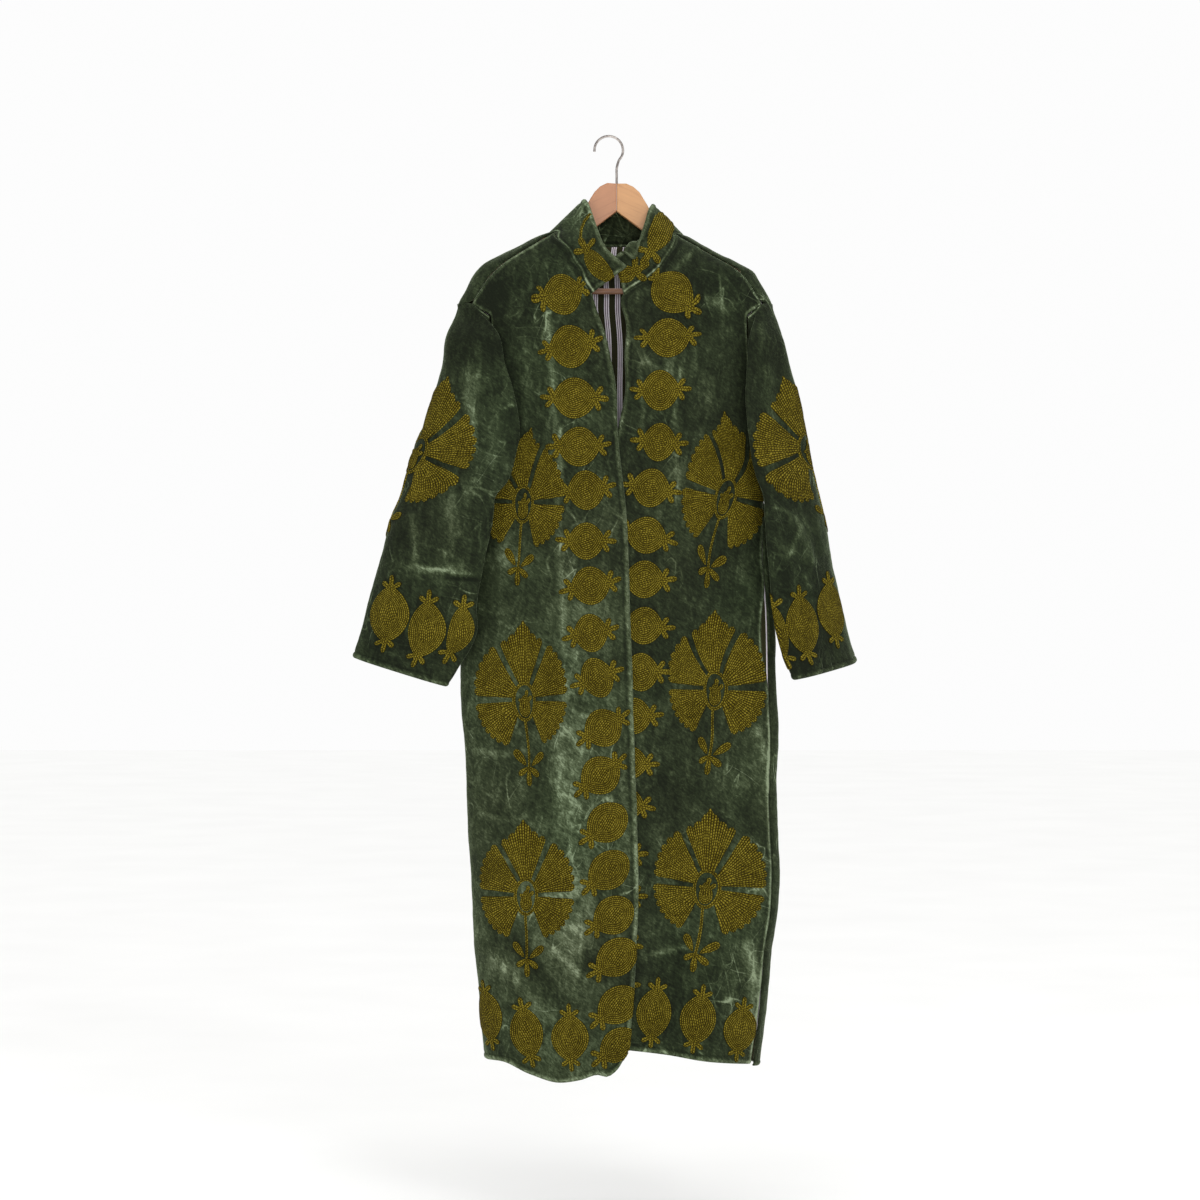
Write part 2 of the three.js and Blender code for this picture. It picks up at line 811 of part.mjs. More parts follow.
const velvet = new THREE.MeshStandardMaterial({ color: 0x3a4836, roughness: 0.85, metalness: 0 });
const stripes = new THREE.MeshStandardMaterial({ color: 0x8f8590, roughness: 0.8, metalness: 0 });
const wood = new THREE.MeshStandardMaterial({ color: 0xd09a70, roughness: 0.5, metalness: 0 });
const steel = new THREE.MeshStandardMaterial({ color: 0xc9bfbb, roughness: 0.3, metalness: 1 });

const frontColumns = 12;
const backGrid = panelGrid(backRows(), backColumns, backHem, () => 0);
const frontLeftGrid = panelGrid(leftFrontRows(), frontColumns, leftHem, leftLap);
const frontRightGrid = panelGrid(rightFrontRows(), frontColumns, rightHem, rightLap);

const jacket = new THREE.Group();
jacket.add(
  wall("front_left", frontLeftGrid, clothThickness, velvet),
  wall("front_right", frontRightGrid, clothThickness, velvet),
  wall("back", backGrid, clothThickness, velvet),
  wall("sleeve_left", sleeveGrid(leftSleeve, leftArmhole, -1, lapSteps.left), clothThickness, velvet),
  wall("sleeve_right", sleeveGrid(rightSleeve, rightArmhole, 1, lapSteps.right), clothThickness, velvet),
  wall("collar", collarGrid(), clothThickness, velvet),
  wall("back_lining", liningGrid(backGrid), liningThickness, stripes),
  wall("pocket_facing", pocketGrid(), liningThickness, stripes),
  hangerArm("hanger_arm_left", leftArmOutline, -1, wood),
  hangerArm("hanger_arm_right", rightArmOutline, 1, wood),
  hangerBar(wood),
  hangerHook(steel),
);

export default jacket;
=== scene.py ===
"""A velvet long coat with raised chain-stitch embroidery, hung on a wooden hanger.

The tables are in millimetres, as a pattern cutter notes them, and the meshes in metres.
+X runs to the right, +Y away from the front and +Z up, from the inside top of the hook.
"""

import math

import bpy
import numpy as np
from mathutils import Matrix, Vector, noise


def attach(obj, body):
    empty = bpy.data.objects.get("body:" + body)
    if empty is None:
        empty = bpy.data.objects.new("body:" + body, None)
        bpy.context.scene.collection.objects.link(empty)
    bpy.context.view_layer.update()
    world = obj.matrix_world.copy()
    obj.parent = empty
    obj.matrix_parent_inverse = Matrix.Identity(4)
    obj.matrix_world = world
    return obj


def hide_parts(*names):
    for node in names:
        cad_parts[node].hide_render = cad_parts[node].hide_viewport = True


MM = 0.001
QUARTER = math.pi / 2
WAY = {"left": -1, "right": 1}

CLOTH_THICKNESS = 2.2
LINING_THICKNESS = 1.2
LAP_STEPS = {"left": 2.8, "right": 2.6}
LINING_DEPTH = 2.0
FRONT_LAP = 5.0
SEAM_GAP = 0.5
SEAM_HIGHLIGHT_AT = 2.6  # from a seam, where a pale line is painted as the highlight on the seam's ridge
EDGE_BEND = 7
SIDE_ROUNDING = 2.6
CLOTH_STEP = 4.0  # between the points of a finished cloth
STITCHED_AT = 8.0  # from a turned edge
FAR_AWAY = 1e5
FAR = 60.0  # further from an edge nothing depends on the distance
EDGE_PLACES = (0.8, 2.2, 4.5, 7.0, 9.5)  # of the points beside a turned edge
EDGE_REACH = 11.5
# About how wide and long the pieces are, to space their points.
WIDTHS = {"front": 232, "back": 470, "collar": 44}
LENGTHS = {"front": 1180, "back": 1250, "sleeve": 560}

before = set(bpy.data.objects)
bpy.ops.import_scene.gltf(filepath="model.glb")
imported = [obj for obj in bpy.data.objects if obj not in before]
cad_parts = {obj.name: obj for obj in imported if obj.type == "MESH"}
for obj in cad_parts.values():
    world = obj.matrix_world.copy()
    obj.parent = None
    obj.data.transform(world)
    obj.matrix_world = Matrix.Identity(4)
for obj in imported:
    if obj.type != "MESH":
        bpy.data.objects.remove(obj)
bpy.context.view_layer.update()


def table(columns, rows):
    values = np.array(rows, float)
    return {name: values[:, i] for i, name in enumerate(columns.split())}


def smoothstep(x, low, high):
    t = np.clip((x - low) / (high - low), 0, 1)
    return t * t * (3 - 2 * t)


def lerp(a, b, t):
    return a + (b - a) * t


def bell(x, middle, width):
    """A soft hump, one high."""
    return np.exp(-(((x - middle) / width) ** 2))


def unit(ways):
    return ways / np.maximum(np.linalg.norm(ways, axis=-1, keepdims=True), 1e-9)


def travelled(points):
    """Distances along a line of points, from the first one."""
    return np.concatenate([[0], np.cumsum(np.linalg.norm(np.diff(points, axis=0), axis=1))])


def eased(at, values, x):
    """Reads a smooth curve through values that are known at some places."""
    at, values = np.asarray(at, float), np.asarray(values, float)
    if at[0] > at[-1]:
        at, values = at[::-1], values[::-1]
    slope = np.gradient(values, at, axis=0)
    x = np.clip(np.asarray(x, float), at[0], at[-1])
    i = np.clip(np.searchsorted(at, x, side="right") - 1, 0, len(at) - 2)
    step = at[i + 1] - at[i]
    t = (x - at[i]) / step
    if values.ndim > 1:
        more = (...,) + (None,) * (values.ndim - 1)
        t, step = t[more], step[more]
    start = values[i] * (1 + 2 * t) * (1 - t) ** 2 + values[i + 1] * t * t * (3 - 2 * t)
    return start + step * (slope[i] * t * (1 - t) ** 2 + slope[i + 1] * t * t * (t - 1))


# ---------------------------------------------------------------- the coat's hanging form

BODY = table("z left right front back", [
    [-126, -56, 80, 22, 26], [-138, -77, 97, 28, 32], [-151, -111, 119, 34, 38],
    [-164, -137, 141, 38, 41], [-178, -164, 167, 40, 43], [-190, -188, 192, 42, 44],
    [-200, -199, 212, 43, 45], [-212, -207, 221, 44, 46], [-233, -217.5, 233, 45, 47],
    [-251, -227, 242, 45, 47], [-300, -217, 239, 45, 47], [-380, -208, 230, 43, 46],
    [-505, -203, 226, 40, 44], [-600, -210, 236, 39, 45], [-700, -220, 245, 40, 48],
    [-842, -222.5, 249, 43, 52], [-900, -218, 252, 45, 54], [-960, -214, 249, 47, 56],
    [-1040, -212.5, 251, 50, 60], [-1114, -207, 253.5, 53, 64], [-1170, -205, 250, 55, 67],
    [-1215, -202, 242, 57, 69], [-1260, -198, 237.5, 58, 71], [-1320, -193, 232, 60, 74],
    [-1370, -188, 226, 62, 76], [-1410, -183, 221, 63, 78],
])

FOLD_COLUMNS = "upper_x upper_z lower_x lower_z width height"
FRONT_FOLDS = table(FOLD_COLUMNS, [
    [-97, -200, -66, -860, 18, 5], [-70, -860, -76, -1120, 20, 4],
    [-150, -560, -146, -1380, 30, 6], [-112, -700, -108, -1400, 24, -5],
    [104, -230, 92, -640, 20, 4], [152, -560, 140, -1380, 32, 7], [92, -740, 84, -1380, 28, -6],
    [-30, -900, -28, -1400, 26, 5],
])
BACK_FOLDS = table(FOLD_COLUMNS, [
    [-120, -270, -132, -1380, 30, 8], [-52, -230, -62, -1380, 28, -7], [14, -420, 8, -1380, 32, 9],
    [84, -230, 92, -1380, 28, -7], [152, -280, 166, -1380, 30, 8],
])


def fold_depth(folds, x, z):
    depth = np.zeros_like(x)
    for upper_x, upper_z, lower_x, lower_z, width, height in zip(*folds.values()):
        along = (upper_z - z) / (upper_z - lower_z)
        across = (x - lerp(upper_x, lower_x, np.clip(along, 0, 1))) / width
        ends = smoothstep(along, 0, 0.25) * (1 - smoothstep(along, 0.92, 1.25))
        depth += height * ends * np.exp(-across * across)
    return depth


def turn_at(x, z, on_back=False):
    left, right = (eased(BODY["z"], BODY[side], z) for side in WAY)
    turn = np.arcsin(np.clip((2 * x - left - right) / (right - left), -1, 1))
    return -math.pi - turn if on_back else turn


def body_point(turn, z, step=0.0):
    """A point of the coat's surface, at a turn round it and a height, moved outwards by step."""
    left, right, front, back = (
        eased(BODY["z"], BODY[side], z) + way * step
        for side, way in (("left", -1), ("right", 1), ("front", 1), ("back", 1))
    )
    share = np.sin(turn)
    x = lerp(left, right, (share + 1) / 2)
    profile = np.sqrt(np.maximum(0, 1 - np.abs(share) ** SIDE_ROUNDING))
    front = front + fold_depth(FRONT_FOLDS, x, z)
    back = back + fold_depth(BACK_FOLDS, x, z)
    return np.stack([x, np.where(np.cos(turn) >= 0, -front, back) * profile, z + 0 * x], -1)


# ---------------------------------------------------------------- the pattern of the panels

HEMS = {
    "left": table("x z", [
        [-186, -1380], [-160, -1380], [-121, -1397], [-82, -1408], [-45, -1403], [-18, -1395],
        [-4, -1398], [10, -1388], [26, -1361],
    ]),
    "right": table("x z", [
        [-16, -1357], [26, -1360], [81, -1367], [157, -1379], [218, -1386],
    ]),
    "back": table("x z", [
        [-190, -1376], [-60, -1366], [60, -1368], [224, -1390],
    ]),
}

ARMHOLE_ROWS = 9
SHOULDER_ROWS = 6
LOWER_LEVELS = np.array([
    -560.0, -620, -676, -720, -770, -821, -880, -940, -1000, -1060, -1120, -1180, -1240, -1300,
    -1345, -1380,
])
HEM_SHARES = [0] * 14 + [0.5, 1]  # how far each lower row follows the hem

ARMHOLES = {
    "left": table("front_x z back_x", [
        [-206, -252, -222], [-191, -262, -212], [-178, -271, -203], [-177, -300, -198],
        [-178, -340, -195], [-181, -390, -194], [-187, -440, -195], [-196, -485, -199],
        [-203, -505, -203],
    ]),
    "right": table("front_x z back_x", [
        [226, -252, 237], [214, -262, 228], [204, -271, 221], [204, -300, 217], [206, -340, 215],
        [209, -390, 215], [214, -440, 217], [222, -485, 222], [226, -505, 226],
    ]),
}
OPENINGS = {
    "left": table("x z", [
        [-80, -148], [-67, -166], [-52.5, -192], [-40, -219], [-28.5, -238], [-15, -278],
        [-1.5, -326], [9, -388], [10.5, -442], [22, -550], [26, -620], [28, -676], [29, -720],
        [31, -770], [33, -821], [34, -880], [36, -940], [38.5, -1000], [40, -1060], [41, -1120],
        [39.5, -1180], [36.5, -1240], [32, -1300], [28, -1340], [26, -1361],
    ]),
    "right": table("x z", [
        [98, -154], [89, -177], [76, -198], [58, -216], [20.5, -240], [24.5, -284], [22.5, -330],
        [23, -388], [12, -442], [4, -550], [2, -620], [0, -676], [-2, -720], [-4, -770],
        [-6, -821], [-8, -880], [-9, -940], [-10, -1000], [-11, -1060], [-12, -1120], [-13, -1180],
        [-14, -1240], [-15, -1300], [-15, -1340], [-15, -1357],
    ]),
}
SEAM_TURNS = {"left": -QUARTER - 0.17, "right": QUARTER - 0.32}
POCKET = {"top": -676.0, "bottom": -821.0, "opening": 0.1, "depth": 4.1, "overlap": 12.0}
VENT = {"top": -1225.0, "opening": 0.05}

SHOULDER = table("left_x left_z right_x right_z dip", [
    [-79, -143.5, 97, -147.5, 17], [-108, -160, 122, -162, 18], [-135, -176, 147, -177, 14],
    [-160, -193, 172, -191, 10], [-181, -213, 197, -208, 6], [-197, -236, 214, -231, 3],
])
SEAM_LIFT = 2.6
SHOULDER_TIP = {"left_x": -208.0, "right_x": 227.0, "lift": 4.6}


# Depths below the hook, in millimetres, between which each thing comes in.
SEAM_TURNS_FORWARD = (505, 640)
SEAM_OPENS = (500, 520)
LAP_BEGINS = (300, 430)
HALF_DEPTH = 60  # of the body, to make a turn of the seam's gap


def side_seam(side_turn, seam_turn, z):
    return lerp(side_turn, seam_turn, smoothstep(-z, *SEAM_TURNS_FORWARD))


def seam_turn_gap(z):
    return SEAM_GAP / HALF_DEPTH + 0.006 * smoothstep(-z, *SEAM_OPENS)


def pocket_opening(z):
    share = np.clip((POCKET["top"] - z) / (POCKET["top"] - POCKET["bottom"]), 0, 1)
    vent = smoothstep(-z, -VENT["top"], 1380)
    return POCKET["opening"] * np.sin(math.pi * share) + VENT["opening"] * vent


def follow_hem(turn, level, share, hem):
    """Takes each row down to the hem by its share."""
    x = body_point(turn, level)[..., 0]
    return lerp(level, eased(hem["x"], hem["z"], x), share[:, None])


def front_pattern(side, across):
    """Turns and heights of a front, row by row from the shoulder, from left to right."""
    armhole, opening, way, z = ARMHOLES[side], OPENINGS[side], WAY[side], LOWER_LEVELS
    outer = turn_at(armhole["front_x"], armhole["z"])
    outer[-1] = way * (QUARTER - 0.02)
    slit = pocket_opening(z) if side == "right" else 0
    lower = side_seam(way * QUARTER, SEAM_TURNS[side], z) - way * seam_turn_gap(z) - slit
    ends = [
        (np.concatenate([outer, lower]), np.concatenate([armhole["z"], z])),
        (turn_at(opening["x"], opening["z"]), opening["z"]),
    ][::-way]
    turn, level = (lerp(a[:, None], b[:, None], across[None, :]) for a, b in zip(*ends))
    z = follow_hem(turn, level, np.concatenate([np.zeros(ARMHOLE_ROWS), HEM_SHARES]), HEMS[side])
    seam_x = np.append(SHOULDER[side + "_x"], armhole["front_x"][0])
    seam_z = np.append(SHOULDER[side + "_z"], armhole["z"][0])
    place = np.arange(len(seam_x)) / (len(seam_x) - 1)
    along = across[::way]
    z[0] = eased(place, seam_z, along)
    turn[0] = turn_at(eased(place, seam_x, along), z[0])
    return turn, z


def back_edge(side):
    """Turns and heights down a side edge of the back, from the neck's corner."""
    armhole, z = ARMHOLES[side], LOWER_LEVELS
    round_it = 0 if side == "left" else 2 * math.pi
    shoulder_z = SHOULDER[side + "_z"] + SEAM_LIFT
    tip_z = armhole["z"][0] + SHOULDER_TIP["lift"]
    seam = side_seam(WAY[side] * QUARTER, SEAM_TURNS[side], z) + WAY[side] * seam_turn_gap(z)
    turns = [
        turn_at(SHOULDER[side + "_x"], shoulder_z) - round_it,
        [turn_at(SHOULDER_TIP[side + "_x"], tip_z) - round_it],
        turn_at(armhole["back_x"], armhole["z"], True)[1:],
        seam - round_it,
    ]
    return np.concatenate(turns), np.concatenate([shoulder_z, [tip_z], armhole["z"][1:], z])


def back_pattern(across):
    (left_turn, left_z), (right_turn, right_z) = (back_edge(side) for side in WAY)
    dip = np.concatenate([SHOULDER["dip"], np.zeros(len(left_z) - len(SHOULDER["dip"]))])
    share = across[None, :]
    sides = (-QUARTER, QUARTER - 2 * math.pi)
    left_bend = (left_turn - sides[0])[:, None] * (1 - share) ** EDGE_BEND
    right_bend = (right_turn - sides[1])[:, None] * share**EDGE_BEND
    turn = lerp(sides[0], sides[1], share) + left_bend + right_bend
    level = lerp(left_z[:, None], right_z[:, None], share)
    level = level - dip[:, None] * np.sin(math.pi * share)
    shares = np.concatenate([np.zeros(SHOULDER_ROWS + ARMHOLE_ROWS), HEM_SHARES])
    return turn, follow_hem(turn, level, shares, HEMS["back"])


def spread(total, step, near_start=False, near_end=False):
    """Places along a length, closer together near the ends that carry a turned edge."""
    inner = list(np.linspace(0, 1, max(2, round(total / step)) + 1))
    places = set(np.round(inner, 6))
    for wanted, base, way in ((near_start, 0, 1), (near_end, 1, -1)):
        if wanted:
            places = {p for p in places if abs(p - base) * total > EDGE_REACH or p == base}
            places |= {round(base + way * distance / total, 6) for distance in EDGE_PLACES}
    return np.array(sorted(places))


def row_places(grid):
    """How far down each row lies. The last three values of a point are its place."""
    steps = np.linalg.norm(np.diff(grid[:, :, -3:], axis=0), axis=2).mean(1)
    return np.concatenate([[0], np.cumsum(steps)])


def finer_rows(grid, total):
    """Adds rows between the pattern's rows. grid holds several values at each point."""
    at = row_places(grid)
    return eased(at, grid, spread(total, CLOTH_STEP, near_end=True) * at[-1])


def lap_step(side, x, z):
    """The left front lies over the right one below the throat."""
    low = smoothstep(-z, *LAP_BEGINS)
    if side == "left":
        return FRONT_LAP / 2 * smoothstep(x, -75, -25) * low
    return -FRONT_LAP / 2 * (1 - smoothstep(x, 50, 100)) * low


# ---------------------------------------------------------------- cloth: a grid of points


class Cloth:
    """A cloth's points in millimetres, row by row from the top, each from left to right."""

    def __init__(self, name, grid, thickness=CLOTH_THICKNESS):
        self.name = name
        self.side = name.rpartition("_")[2]
        self.thickness = thickness
        self.set_grid(grid)
        # Tone painted on the velvet: painted highlight above 0, painted shade below 0, with some
        # pressed nap.
        self.nap_and_painted_light = np.zeros(grid.shape[:2])

    def set_grid(self, grid):
        self.grid = grid
        self.down, self.across = np.gradient(grid, axis=0), np.gradient(grid, axis=1)
        self.normal = unit(np.cross(self.down, self.across))

    def press(self, height, nap_and_painted_light=0):
        """Moves the cloth out by height along its normals, and adds to the tone painted on it as
        highlight and shade.
        """
        self.set_grid(self.grid + self.normal * np.asarray(height)[..., None])
        self.nap_and_painted_light = self.nap_and_painted_light + nap_and_painted_light

    def lengths(self):
        """Distances along the rows from the left edge, and down the columns from the top."""
        rows, columns = self.grid.shape[:2]
        across = np.linalg.norm(np.diff(self.grid, axis=1), axis=2)
        down = np.linalg.norm(np.diff(self.grid, axis=0), axis=2)
        u = np.hstack([np.zeros((rows, 1)), np.cumsum(across, 1)])
        return u, np.vstack([np.zeros((1, columns)), np.cumsum(down, 0)])

    def from_edge(self, edge):
        u, v = self.lengths()
        return {"left": u, "right": u[:, -1:] - u, "top": v, "bottom": v[-1:] - v}[edge]

    def from_edges(self, edges):
        """Distances from the nearest of the edges."""
        far = np.full(self.nap_and_painted_light.shape, FAR)
        return np.minimum.reduce([far, *(self.from_edge(edge) for edge in edges)])

    def read(self, values, row, column):
        """Reads values of the grid's points at places between them."""
        rows, columns = self.grid.shape[:2]
        i = np.clip(row.astype(int), 0, rows - 2)
        j = np.clip(column.astype(int), 0, columns - 2)
        s, t = (row - i)[..., None], (column - j)[..., None]
        upper = values[i, j] * (1 - t) + values[i, j + 1] * t
        lower = values[i + 1, j] * (1 - t) + values[i + 1, j + 1] * t
        return upper * (1 - s) + lower * s

    def find(self, x, z, behind=False):
        """The row and column that lie at x and z, on the side that faces the front or the back."""
        gap = (self.grid[..., 0] - x) ** 2 + (self.grid[..., 2] - z) ** 2
        away = self.normal[..., 1] * (1 if behind else -1)
        gap = np.where(away > 0.05, gap, gap + FAR_AWAY)
        row, column = (float(v) for v in np.unravel_index(np.argmin(gap), gap.shape))
        return row, column

    def walk(self, row, column, right, up, steps=10):
        """Goes from a place on the cloth by distances to the right and up, along its surface."""
        rows, columns = self.grid.shape[:2]
        for _ in range(steps):
            down, across, normal = (
                self.read(values, row, column) for values in (self.down, self.across, self.normal)
            )
            up_way = unit(-down)
            right_way = unit(np.cross(up_way, normal))
            move = (right_way * right[..., None] + up_way * up[..., None]) / steps
            pairs = [(down, down), (down, across), (across, across), (move, down), (move, across)]
            dd, dc, cc, md, mc = ((a * b).sum(-1) for a, b in pairs)
            scale = dd * cc - dc * dc
            row = np.clip(row + (md * cc - mc * dc) / scale, 0, rows - 1)
            column = np.clip(column + (mc * dd - md * dc) / scale, 0, columns - 1)
        return row, column


def crease_relief(creases, x, z):
    """Heights of creases pressed along lines, and the tone painted along them as highlight and
    shade, partly also pressed nap.
    """
    height, nap_and_painted_light = np.zeros_like(x), np.zeros_like(x)
    for width, lift, painted_gleam, *ends in creases:
        line = list(zip(ends[::2], ends[1::2]))
        lengths = [math.dist(a, b) for a, b in zip(line, line[1:])]
        nearest, part, passed = np.full_like(x, 1e9), np.zeros_like(x), 0.0
        for (ax, az), (bx, bz), length in zip(line, line[1:], lengths):
            along = np.clip(((x - ax) * (bx - ax) + (z - az) * (bz - az)) / length**2, 0, 1)
            gap = np.hypot(x - lerp(ax, bx, along), z - lerp(az, bz, along))
            part = np.where(gap < nearest, (passed + along * length) / sum(lengths), part)
            nearest = np.minimum(gap, nearest)
            passed += length
        fade = smoothstep(part, 0, 0.15) * (1 - smoothstep(part, 0.85, 1))
        hump = bell(nearest, 0, width) * fade
        height += lift * hump
        nap_and_painted_light += painted_gleam * hump
    return height, nap_and_painted_light


def ripple(grid, size, stretch=(1, 1, 1), seed=0):
    """Soft unevenness of about one size, from -1 to 1."""
    flat = grid.reshape(-1, 3) / size / np.array(stretch)
    values = [noise.noise(Vector((x + seed * 7.3, y, z - seed * 3.1))) for x, y, z in flat]
    return np.array(values).reshape(grid.shape[:2])


def turned_edge(distance):
    """The profile of an edge that is turned in and stitched down."""
    roll = -1.3 * (1 - smoothstep(distance, 0, 2.2)) ** 2
    bulge = 0.8 * smoothstep(distance, 0, 3) * (1 - smoothstep(distance, 5, STITCHED_AT))
    return roll + bulge - 0.7 * bell(distance, STITCHED_AT, 1.6)


def seam_roll(distance, depth, reach):
    """How far a seamed edge sinks where it is turned in."""
    return -depth * (1 - smoothstep(distance, 0, reach)) ** 2


# ---------------------------------------------------------------- sleeves and collar

SLEEVE_COLUMNS = "out_x out_z out_y out_full in_x in_z in_y in_full"
SLEEVES = {
    "left": table(SLEEVE_COLUMNS, [
        [-245, -303, -2, 18, -167, -300, -45, 6], [-250, -340, -3, 20, -157, -342, -50, 7],
        [-264, -390, -4, 22, -143, -388, -54, 8], [-281, -440, -5, 22, -134.5, -446, -57, 9],
        [-298, -484, -6, 22, -141, -482, -57, 10], [-306, -512, -6, 22, -149, -510, -57, 11],
        [-325, -570, -7, 22, -174, -566, -56, 12], [-345, -640, -8, 21, -190, -650, -54, 13],
        [-361, -697, -9, 20, -199, -706, -52, 13], [-371, -738, -10, 19, -199, -744, -50, 13],
        [-378, -762, -10, 18, -218, -780, -48, 12], [-384, -779, -10, 17, -243, -822, -46, 12],
    ]),
    "right": table(SLEEVE_COLUMNS, [
        [255, -300, 3, 18, 209, -300, -44, 6], [266, -340, 8, 20, 205, -342, -48, 7],
        [281, -390, 16, 23, 202, -392, -51, 8], [291, -440, 24, 24, 206, -442, -53, 9],
        [300, -484, 30, 24, 212, -484, -53, 10], [307, -512, 34, 24, 218, -510, -53, 11],
        [319, -570, 39, 24, 231, -572, -52, 12], [333, -640, 42, 23, 237, -644, -51, 13],
        [346, -695, 43, 22, 243, -702, -50, 13], [357, -738, 43, 21, 250, -744, -49, 13],
        [365, -768, 43, 20, 259, -778, -48, 12], [371.5, -786, 43, 19, 273, -812, -47, 12],
    ]),
}
SLEEVE_AROUND = 108
SLEEVE_ROUNDING = 2.4
UNDERARM_ROW = 5
SLEEVE_SEAM_SHARE = 0.22
SLEEVE_SEAM_GAP = 1.2
# How much darker each sleeve's velvet tone is made.
SLEEVE_DARKENING = {"left": 0.16, "right": 0.3}
UNDERARM_EASE = 1.5


def through_points(points, count):
    """A centripetal curve through the points, read at even steps."""
    points = np.array(points, float)
    first, last = 2 * points[0] - points[1], 2 * points[-1] - points[-2]
    padded = np.vstack([first, points, last])
    at = np.linspace(0, len(points) - 1, count + 1)
    i = np.minimum(at.astype(int), len(points) - 2)
    t = (at - i)[:, None]
    p0, p1, p2, p3 = (padded[i + k] for k in range(4))
    pairs = ((p0, p1), (p1, p2), (p2, p3))
    d0, d1, d2 = (np.linalg.norm(b - a, axis=1, keepdims=True) ** 0.5 for a, b in pairs)
    m1 = ((p1 - p0) / d0 - (p2 - p0) / (d0 + d1) + (p2 - p1) / d1) * d1
    m2 = ((p2 - p1) / d1 - (p3 - p1) / (d1 + d2) + (p3 - p2) / d2) * d1
    return p1 + m1 * t + (3 * (p2 - p1) - 2 * m1 - m2) * t**2 + (2 * (p1 - p2) + m1 + m2) * t**3


def sleeve_edge(row, end):
    return np.array([row[end + axis] for axis in ("_x", "_y", "_z")])


def sleeve_point(row, share, side):
    inner, outer = sleeve_edge(row, "in"), sleeve_edge(row, "out")
    profile = math.sqrt(1 - abs(2 * share - 1) ** SLEEVE_ROUNDING)
    fullness = lerp(row["in_full"], row["out_full"], share) * profile
    across_x, across_y = (outer - inner)[:2]
    push = side * math.copysign(1, across_x) * fullness / math.hypot(across_x, across_y)
    return lerp(inner, outer, share) + push * np.array([-across_y, across_x, 0])


def sleeve_row(row, front_seam=None, back_seam=None, over_panel=()):
    outer = sleeve_edge(row, "out")
    if back_seam is None:
        front_seam = sleeve_point(row, SLEEVE_SEAM_SHARE, 1)
        back_seam = front_seam + np.array([math.copysign(SLEEVE_SEAM_GAP, row["out_x"]), 0, 0])
        behind = [sleeve_point(row, share, 1) for share in (0.55, 0.87)]
    else:
        behind = [lerp(back_seam, outer, share) + np.array([0, 5, 0]) for share in (0.5, 0.86)]
    before = [sleeve_point(row, share, -1) for share in (0.87, 0.5, 0.13)]
    fold = [sleeve_edge(row, "in"), sleeve_point(row, 0.07, 1)]
    points = [back_seam, *behind, outer, *before, *fold, *over_panel, front_seam]
    return through_points(points, SLEEVE_AROUND)


def sleeve_grid(side):
    rows, armhole, lap, way = SLEEVES[side], ARMHOLES[side], LAP_STEPS[side], WAY[side]

    def at_armhole(i, edge):
        turn = turn_at(armhole[edge][i], armhole["z"][i], edge == "back_x")
        return body_point(turn, armhole["z"][i], lap)

    head = [at_armhole(i, "back_x") for i in (2, 1, 0)]
    head.append(body_point(np.float64(way * QUARTER), armhole["z"][0] + 1, lap))
    head += [at_armhole(i, "front_x") for i in (0, 1, 2)]
    rings = [through_points(head, SLEEVE_AROUND)]
    for i in range(len(rows["out_x"])):
        row = {name: values[i] for name, values in rows.items()}
        if i > UNDERARM_ROW:
            rings.append(sleeve_row(row))
            continue
        z = armhole["z"][i + 3]
        if i == UNDERARM_ROW:
            z -= 2
            front_turn, back_turn = (way * (QUARTER + bit) for bit in (-0.05, 0.05))
        else:
            front_turn = turn_at(armhole["front_x"][i + 3], z)
            back_turn = turn_at(armhole["back_x"][i + 3], z, True)
        fold_turn = turn_at(row["in_x"], z)
        over = [
            body_point(lerp(fold_turn, front_turn, share), z, lap + step)
            for share, step in ((0.35, 4), (0.7, 2.5))
        ]
        ease = UNDERARM_EASE if i >= UNDERARM_ROW - 1 else 0
        front = body_point(front_turn, z, lap + ease)
        rings.append(sleeve_row(row, front, body_point(back_turn, z, lap), over))
    return finer_rows(np.array(rings)[:, ::-way], LENGTHS["sleeve"])


COLLAR_TOPS = table("share x y z flap", [
    [0, 24.5, -61, -200, 0], [0.06, 7, -58, -186, 0], [0.12, -8, -48, -169, 0],
    [0.19, -19.5, -34, -141, 0], [0.235, -33.5, -15, -100, 0], [0.26, -38, 0, -93, 0],
    [0.285, -33, 14, -97, 0], [0.33, -22, 23, -102, 0], [0.41, -6, 30, -105, 0],
    [0.49, 12, 32, -106, 0], [0.57, 30, 30, -108, 0], [0.65, 47, 23, -108, 0],
    [0.69, 60, 14, -104, 0], [0.715, 64, 0, -100, 0], [0.74, 60, -15, -107, 0],
    [0.81, 51, -32, -136, 0], [0.87, 41.5, -40, -160, 6], [0.92, 30, -43, -166, 22],
    [0.96, 19, -45, -175, 4], [1, 8, -46, -184, 0],
])
COLLAR_STEP = 1.6
COLLAR_OVERLAP = 3.0
COLLAR_STATIONS = 190
COLLAR_SHARES = [0, 0.3, 0.6, 0.88, 1]
COLLAR_HEIGHTS = [0, 0.12, 0.4, 0.7, 1]
COLLAR_ROW = 2.5
FLAP_FORWARD = 7
NECK_ROWS = 4


def neck_edge(front_left, front_right, back):
    """The line that the collar is sewn to: the fronts' neck edges and the back's top edge."""
    left, right = (
        edge[edge[:, 2] > OPENINGS[side]["z"][NECK_ROWS] - 0.5]
        for side, edge in (("left", front_left.grid[:, -1]), ("right", front_right.grid[:, 0]))
    )
    return np.vstack([left[::-1], back.grid[0, ::-1], right])


